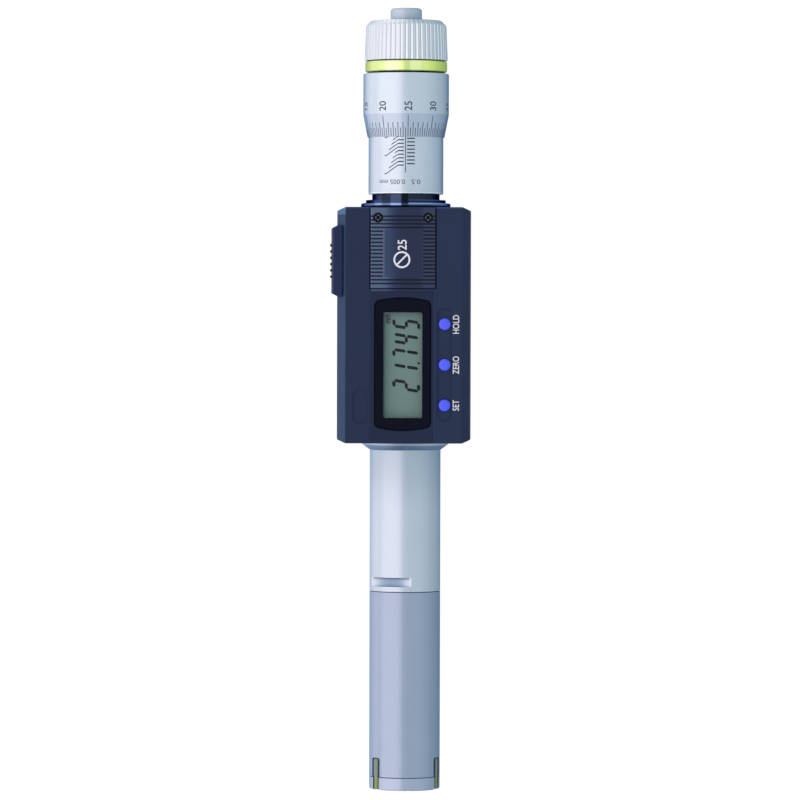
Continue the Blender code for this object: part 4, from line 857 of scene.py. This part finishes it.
def slot_outline(half, top, corner, low):
    """A slot of the head seen from outside, or what fills it: straight sides and a flat top."""
    right = arc((half - corner, top - corner), corner, 0, 90, 6)
    left = arc((corner - half, top - corner), corner, 90, 180, 6)
    return right + left + [(-half, low), (half, low)]


def make_head():
    """The measuring head: a cone chamber, and a slot for each anvil that is wider round its foot."""
    spigot, spigot_top = 6.0 * MM, HEAD_TOP + 9.6 * MM
    rod_bore, cone_bore, chamber_top = 2.9 * MM, 6.55 * MM, -103.5 * MM
    foot_half, foot_outer, foot_inner, foot_top = 1.7 * MM, 7.5 * MM, 3.0 * MM, FOOT_TOP + 0.1 * MM
    below = HEAD_BOTTOM - 3 * MM
    head = turned_mesh("head_turned", [
        (rod_bore, spigot_top), (spigot, spigot_top), (spigot, HEAD_TOP), (TUBE_RADIUS, HEAD_TOP),
        (TUBE_RADIUS, HEAD_BOTTOM), (cone_bore, HEAD_BOTTOM), (cone_bore, chamber_top),
        (rod_bore, chamber_top),
    ], bored=True)
    around_spindle(head)
    cuts = []
    outline = [(x, -2 * TUBE_RADIUS, z) for x, z in slot_outline(1.8 * MM, SLOT_TOP, 0.7 * MM, below)]
    for azimuth in ANVIL_AZIMUTHS:
        slot = prism_mesh(outline, 1, 1 * MM - cone_bore)
        foot = block_mesh((-foot_half, -foot_outer, below), (foot_half, -foot_inner, foot_top))
        cuts += [around_spindle(slot, azimuth), around_spindle(foot, azimuth)]
    add_piece("head_turned", shade(cut_mesh(head, cuts)), HEAD_SATIN, "frame", "measuring_head")


def make_end_plate():
    """The end plate, with its slots, its screw holes and a recess for the cone."""
    edge = 0.35 * MM
    recess, recess_foot = 1.3 * MM, END_FACE + 1.0 * MM
    slot_half, slot_inner = 1.3 * MM, 2.2 * MM
    hole, sink, sink_top, screw_circle = 0.85 * MM, 1.4 * MM, END_FACE + 1.2 * MM, 8.1 * MM
    top = HEAD_BOTTOM - 0.14 * MM
    plate = turned_mesh("end_plate_turned", [
        (0.0, top), (TUBE_RADIUS, top), (TUBE_RADIUS, END_FACE + edge), (TUBE_RADIUS - edge, END_FACE),
        (0.0, END_FACE),
    ])
    around_spindle(plate)
    low, high = END_FACE - 3 * MM, top + 3 * MM
    cuts = [around_spindle(turned_mesh("recess", [
        (0.0, high), (recess, high), (recess, recess_foot), (0.0, recess_foot)], steps=24))]
    for azimuth in ANVIL_AZIMUTHS:
        slot = block_mesh((-slot_half, -2 * TUBE_RADIUS, low), (slot_half, -slot_inner, high))
        cuts.append(around_spindle(slot, azimuth))
        bore = turned_mesh("screw_hole", [
            (0.0, high), (hole, high), (hole, sink_top), (sink, sink_top), (sink, low), (0.0, low),
        ], steps=32, ease=0.0)
        bore.transform(Matrix.Translation((0.0, -screw_circle, 0.0)))
        cuts.append(around_spindle(bore, azimuth + 60.0))
    add_piece("end_plate_turned", shade(cut_mesh(plate, cuts)), END_SATIN, "frame", "head_end_plate")


def make_anvils():
    """The face of each anvil's arm, which fills its slot, and the coated strip on it."""
    inner, face, strip = -6.8 * MM, -9.3 * MM, -9.72 * MM
    foot, half, bow, seat = END_FACE + 0.2 * MM, 0.75 * MM, 0.1 * MM, face + 0.2 * MM
    outline = slot_outline(1.62 * MM, SLOT_TOP - 0.3 * MM, 0.6 * MM, HEAD_BOTTOM + 0.02 * MM)
    arm_corners = [(x, face, z) for x, z in outline]
    crown = [(u * half / 4, strip + bow * (u / 4) ** 2) for u in range(-4, 5)]
    strip_corners = [(x, y, foot) for x, y in crown + [(half, seat), (-half, seat)]]
    for i, azimuth in enumerate(ANVIL_AZIMUTHS, 1):
        body = f"anvil_group_{i}"
        arm = around_spindle(prism_mesh(arm_corners, 1, inner), azimuth)
        add_piece(f"arm_face_{i}", shade(arm), SHADED_ARM_SATIN, body)
        contact = around_spindle(prism_mesh(strip_corners, 2, SLOT_TOP - 0.4 * MM), azimuth)
        add_piece(f"strip_{i}", shade(contact), GOLD, body, f"contact_tip_{i}")


def make_return_spring():
    """The spring that lifts the feed."""
    wire, turns, steps = 0.3 * MM, 5, 24
    low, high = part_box("return_spring")
    radius = (high.x - low.x) / 2 - wire
    start, end = low.y + wire, high.y - wire
    curve = bpy.data.curves.new("coil", "CURVE")
    curve.dimensions = "3D"
    curve.bevel_depth = wire
    curve.bevel_resolution = 2
    curve.use_fill_caps = True
    spline = curve.splines.new("POLY")
    spline.points.add(turns * steps)
    for i, point in enumerate(spline.points):
        turn = 2 * math.pi * i / steps
        across, up = radius * math.cos(turn), radius * math.sin(turn)
        point.co = (across, start + (end - start) * i / (turns * steps), AXIS_HEIGHT + up, 1.0)
    mesh = baked(new_object("coil", curve))
    spring = add_piece("return_coil", shade(mesh), STEEL, "frame", "return_spring")
    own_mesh(spring)


def rounded_side(radius, low, high, edge, steps):
    """The side of a disc, down from its top to its foot, with a round edge at each."""
    return (arc((radius - edge, high - edge), edge, 90, 0, steps)
            + arc((radius - edge, low + edge), edge, 0, -90, steps))


def make_collar():
    """The collar above the housing: a spigot, a round flange, a step and a neck."""
    flange_top = COLLAR_LOW + 1.2 * MM
    step, step_top = 11.02 * MM, flange_top + 0.85 * MM
    neck, neck_top = 9.3 * MM, step_top + 1.5 * MM
    bore, spigot, low = 6.3 * MM, 7.3 * MM, 29.8 * MM
    turned("collar_turned", [
        (bore, neck_top), (neck, neck_top), (neck, step_top), (step, step_top), (step, flange_top),
        *rounded_side(FLANGE_RADIUS, COLLAR_LOW, flange_top, 0.48 * MM, 5),
        (spigot, COLLAR_LOW), (spigot, low), (bore, low),
    ], COLLAR_BLACK, "frame", "upper_collar", bored=True, ease=0.08 * MM)


def make_sleeve():
    """The sleeve that carries the scale."""
    top, bore = SLEEVE_LOW + SLEEVE_LENGTH, 8.8 * MM
    turned("sleeve_turned", [
        (bore, top), (SLEEVE_RADIUS, top), (SLEEVE_RADIUS, SLEEVE_LOW), (bore, SLEEVE_LOW),
    ], SLEEVE_SATIN, "frame", "sleeve", bored=True, ease=0.2 * MM)


def make_thimble():
    """The thimble, tapered towards the sleeve, and the coloured ring on its boss."""
    seat, stub = THIMBLE_TOP - 3.2 * MM, 2.45 * MM
    boss, boss_top = 8.0 * MM, RING_TOP + 0.15 * MM
    turned("thimble_turned", [
        (stub, boss_top), (boss, boss_top), (boss, THIMBLE_TOP), (THIMBLE_RADIUS, THIMBLE_TOP),
        (THIMBLE_RADIUS, THIMBLE_EDGE + THIMBLE_TAPER), (THIMBLE_BORE + THIMBLE_LIP, THIMBLE_EDGE),
        (THIMBLE_BORE, THIMBLE_EDGE), (THIMBLE_BORE, seat), (stub, seat),
    ], THIMBLE_SATIN, "turning", "thimble", bored=True, ease=0.3 * MM)
    ring_bore = 8.3 * MM
    turned("ring_turned", [
        (ring_bore, RING_TOP), *rounded_side(RING_RADIUS, RING_LOW, RING_TOP, 0.57 * MM, 6),
        (ring_bore, RING_LOW),
    ], RING, "turning", "colour_ring", bored=True, ease=0.05 * MM)


def make_drum():
    """The ratchet drum, a crowned cup with narrow grooves in its side, and the end knob on it."""
    points = 20
    hollow, hollow_top, stub = 8.3 * MM, DRUM_TOP - 2.3 * MM, 2.45 * MM
    shoulder = DRUM_CREST + 0.4 * MM
    outline = [
        (stub, DRUM_TOP), (DRUM_CROWN_RADIUS, DRUM_TOP), (DRUM_TOP_RADIUS - 0.2 * MM, shoulder),
        (DRUM_TOP_RADIUS, DRUM_CREST), (DRUM_RADIUS, DRUM_LOW + 0.2 * MM),
        (DRUM_RADIUS - 0.1 * MM, DRUM_LOW), (hollow, DRUM_LOW), (hollow, hollow_top),
        (stub, hollow_top),
    ]
    mesh = turned_mesh("drum_turned", outline, bored=True, steps=FLUTES * points, ease=0.25 * MM)
    for vert in mesh.vertices:
        radius = math.hypot(vert.co.x, vert.co.y)
        if radius < DRUM_CROWN_RADIUS + 0.3 * MM:
            continue
        place = math.atan2(vert.co.y, vert.co.x) * FLUTES / (2 * math.pi) % 1.0
        groove = 0.5 + 0.5 * math.cos(math.pi * min(1.0, abs(place - 0.5) * 2 / GROOVE_SHARE))
        runout = min(1.0, max(0.0, (shoulder + 0.5 * MM - vert.co.z) / (0.9 * MM)))
        shrink = 1 - GROOVE_DEPTH * groove * runout / radius
        vert.co.x *= shrink
        vert.co.y *= shrink
    add_piece("drum_turned", shade(around_spindle(mesh), 24.0), DRUM_SATIN, "drum", "ratchet_drum")
    bore, bore_top = 2.45 * MM, KNOB_TOP - 0.83 * MM
    turned("knob_turned", [
        (0.0, KNOB_TOP), (KNOB_RADIUS - 0.55 * MM, KNOB_TOP), (KNOB_RADIUS, KNOB_TOP - 0.55 * MM),
        (KNOB_RADIUS, KNOB_LOW), (bore, KNOB_LOW), (bore, bore_top), (0.0, bore_top),
    ], KNOB_SATIN, "turning", "end_knob", ease=0.2 * MM)


def thimble_surface(station):
    """The thimble's outer radius at a station: a taper, and then a straight part."""
    share = min(1.0, max(0.0, (station - THIMBLE_EDGE) / THIMBLE_TAPER))
    low = THIMBLE_BORE + THIMBLE_LIP
    return low + (THIMBLE_RADIUS - low) * share


def make_dial():
    """The thimble's dial: fifty units of two divisions each, numbered in fives."""
    marks = Print()
    ring = 2 * math.pi * THIMBLE_RADIUS
    for i in range(100):
        u = ((i / 2 - DATUM_READING) / 50.0 * ring + ring / 2) % ring - ring / 2 + DATUM_SHIFT
        end = DIAL_SHORT if i % 2 else DIAL_LONG if i % 10 == 0 else DIAL_MIDDLE
        marks.stroke((u, THIMBLE_EDGE + 0.1 * MM), (u, end), DIAL_STROKE)
        if i % 10 == 0:
            marks.letters(str(i // 2), 2.1 * MM, (u, DIAL_FIGURES), 90.0, 0.92, 0.006)
    mesh = marks.round_spindle("dial_marks", thimble_surface)
    add_piece("dial_marks", mesh, BLACK_INK, "turning")


def sleeve_surface(station):
    """The radius on which the sleeve's marks lie at a station: its own, and the thimble's higher up."""
    return SLEEVE_RADIUS if station < THIMBLE_EDGE + 5 * MM else THIMBLE_RADIUS


def make_sleeve_scale():
    """The sleeve's scale: a datum line, a tick row on each side, and a leader from each left tick."""
    marks = Print()
    full = THIMBLE_RADIUS / SLEEVE_RADIUS
    marks.stroke((0.0, 41.75 * MM), (0.0, 53.0 * MM), 0.24 * MM)
    for i in range(8):
        v = 51.12 * MM - i * SCALE_PITCH
        marks.stroke((0.42 * MM * full, v), (2.58 * MM * full, v), 0.33 * MM)
    for i in range(-3, 9):
        v = 51.71 * MM - i * SCALE_PITCH
        tick, elbow = (-0.47 * MM * full, v), (-2.02 * MM * full, v)
        marks.stroke(tick, elbow, 0.32 * MM)
        reach = LEADERS[i % 5] * full
        end = (reach, v - (elbow[0] - reach) * 0.58)
        marks.stroke(elbow, end, 0.24 * MM)
        if i % 5 == 3:
            marks.stroke(end, (end[0] - 0.7 * MM, end[1]), 0.24 * MM)
    marks.letters("0.005 mm", 1.3 * MM, (-4.0 * MM * full, 39.2 * MM), 180.0, 1.2, 0.0)
    marks.letters("0.5", 1.3 * MM, (2.9 * MM * full, 39.2 * MM), 180.0, 1.4, 0.0)
    for vert in marks.form.verts:
        vert.co.x += DATUM_SHIFT
    mesh = marks.round_spindle("sleeve_marks", sleeve_surface)
    add_piece("sleeve_marks", mesh, BLACK_INK, "frame")


def make_legends():
    """The words beside the keys, and the size sign on the grip plate."""
    marks = Print()
    for text, middle in KEY_WORDS:
        marks.letters(text, 1.7 * MM, (13.72 * MM, middle * MM), 90.0, 0.78, 0.008)
    add_piece("key_words", marks.on_face("key_words", SIDE_FRONT + INK), WHITE_INK, "frame")
    sign = Print()
    centre = Vector((-1.05 * MM, 17.85 * MM))
    sign.ring(centre, 2.3 * MM, 0.48 * MM)
    reach = Vector((1.3 * MM, 1.3 * MM))
    sign.stroke(centre - reach, centre + reach, 0.45 * MM)
    sign.letters("25", 2.4 * MM, (-1.0 * MM, 21.9 * MM), 90.0, 0.88, 0.012)
    add_piece("size_sign", sign.on_face("size_sign", FRONT + INK), WHITE_INK, "frame")


def make_screw_crosses():
    """The cross recesses of the two plate screws, with painted highlights on their edges."""
    rim_glints, crosses = Print(), Print()
    for i in (1, 2):
        low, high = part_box(f"grip_plate_screw_{i}")
        centre = ((low + high) / 2).xy
        # Painted highlight round each cross recess
        rim_glints.ring(centre, 0.8 * MM, 0.4 * MM)
        for across in (Vector((0.6, 0.6)), Vector((0.6, -0.6))):
            crosses.stroke(centre - across * MM, centre + across * MM, 0.38 * MM)
    add_piece("screw_rims", rim_glints.on_face("screw_rims", high.z + INK), SCREW_GLINT, "frame")
    add_piece("screw_crosses", crosses.on_face("screw_crosses", high.z + 2 * INK), BLACKENED, "frame")


def make_reading():
    """The display's reading: five slanted seven-segment figures that read towards the thimble."""
    bars = Print()
    wide, tall, thick, slant = 1.95 * MM, 6.75 * MM, 0.86 * MM, 0.157
    foot_line, first, pitch = 3.6 * MM, -18.0 * MM, 4.19 * MM
    half = tall / 2
    ends = {
        "a": ((0, tall), (wide, tall)), "b": ((wide, tall), (wide, half)),
        "c": ((wide, half), (wide, 0)), "d": ((0, 0), (wide, 0)), "e": ((0, half), (0, 0)),
        "f": ((0, tall), (0, half)), "g": ((0, half), (wide, half)),
    }
    for i, lit in enumerate(("abged", "bc", "abc", "fgbc", "afgcd")):
        base = first + pitch * i
        for name in lit:
            start, end = (Vector(p) for p in ends[name])
            along = (end - start).normalized()
            side = along.orthogonal() * thick / 2
            start, end = start + along * 0.12 * MM, end - along * 0.12 * MM
            point = along * thick * 0.4
            outline = [
                start, start + point + side, end - point + side,
                end, end - point - side, start + point - side,
            ]
            bars.shape([(foot_line - p.y, base + p.x + slant * p.y) for p in outline])
    bars.shape([(3.62 * MM + u, -10.35 * MM + v) for u, v in arc((0.0, 0.0), 0.34 * MM, 0, 345, 12)])
    foot, head = -4.1 * MM, -5.1 * MM
    for start in (0.65 * MM, 1.85 * MM):
        for leg in (0.0, 0.45 * MM, 0.9 * MM):
            bars.stroke((foot, start + leg), (head, start + leg), 0.2 * MM)
        bars.stroke((head, start - 0.1 * MM), (head, start + 1.0 * MM), 0.22 * MM)
    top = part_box("lcd_panel")[1].z
    add_piece("display_reading", bars.on_face("display_reading", top + INK), SEGMENT, "frame")


def soft_box(name, direction, distance, width, length, radiance):
    """A rectangular lamp that faces the object, seen from it at an angle from straight up."""
    lamp = bpy.data.lights.new(name, "AREA")
    lamp.shape = "RECTANGLE"
    lamp.size = width
    lamp.size_y = length
    lamp.color = [value / max(radiance) for value in radiance]
    lamp.energy = max(radiance) * width * length * math.pi
    made = new_object(name, lamp)
    turn = math.radians(direction)
    made.location = (distance * math.sin(turn), 0.0, distance * math.cos(turn))
    made.rotation_euler = (0.0, turn, 0.0)


def set_room():
    """A plain pale room, cooler on its right, that camera and mirrors see whiter than matt surfaces."""
    world = bpy.data.worlds.new("studio")
    world.use_nodes = True
    bpy.context.scene.world = world
    room = Shader(world.node_tree, "Background")
    seen = room.node("ShaderNodeLightPath", output="Is Camera Ray")
    for ray in ("Is Glossy Ray", "Is Transmission Ray"):
        seen = room.math("MAXIMUM", seen, room.node("ShaderNodeLightPath", output=ray))
    room.set("Strength", ROOM_LIGHT + seen * (1.0 - ROOM_LIGHT))
    across = room.split(room.node("ShaderNodeTexCoord", output="Generated"))[0]
    right = room.node("ShaderNodeMapRange", values={"Value": across, "From Min": 0.75})
    room.set("Color", room.mix(right, (1.0, 1.0, 1.0, 1.0), (0.8, 0.86, 0.88, 1.0)))


def set_floor():
    """A white floor that metal sees brighter on its left than on its right."""
    mesh = bpy.data.meshes.new("floor")
    mesh.from_pydata([(-4, -4, 0), (4, -4, 0), (4, 4, 0), (-4, 4, 0)], [], [(0, 1, 2, 3)])
    floor = new_object("floor", mesh)
    finish = Finish("white_floor", (0.2, 0.2, 0.2), 0.8, Specular_IOR_Level=0.0)
    side = finish.along()[0].step(-8 * MM, 8 * MM)
    mirrored = finish.mix(side, FLOOR_LEFT, FLOOR_RIGHT)
    diffuse = finish.node("ShaderNodeLightPath", output="Is Diffuse Ray")
    plain = finish.mix(diffuse, (0.92, 0.92, 0.92, 1.0), (0.0, 0.0, 0.0, 1.0))
    glossy = finish.node("ShaderNodeLightPath", output="Is Glossy Ray")
    finish.set("Emission Color", finish.mix(glossy, plain, mirrored))
    finish.set("Emission Strength", 1.0)
    mesh.materials.append(finish.material)


def set_studio():
    """The room, the floor, and a soft box on the left."""
    bpy.context.scene.view_settings.view_transform = "Standard"
    set_room()
    set_floor()
    soft_box("left_soft_box", direction=-48.0, distance=1.5, width=2.2, length=3.4, radiance=LEFT_LIGHT)


def set_camera():
    """The photograph's view: from above the middle of the housing, a little tilted towards the head."""
    data = bpy.data.cameras.new("camera")
    data.lens = 224.5
    data.sensor_width = 36.0
    data.clip_end = 20.0
    camera = new_object("camera", data)
    place = Vector((-0.0015, 0.0, 1.3885))
    aim, upwards = Vector((-0.00146, -0.0206, AXIS_HEIGHT)), Vector((-0.00265, 1.0, 0.0))
    view = (aim - place).normalized()
    side = view.cross(upwards).normalized()
    turn = Matrix((side, side.cross(view), -view)).transposed().to_4x4()
    camera.matrix_world = Matrix.Translation(place) @ turn
    bpy.context.scene.camera = camera


dress_nodes()
make_frame_tube()
make_head()
make_end_plate()
make_anvils()
make_return_spring()
make_collar()
make_sleeve()
make_thimble()
make_drum()
make_dial()
make_sleeve_scale()
make_legends()
make_screw_crosses()
make_reading()
set_studio()
set_camera()
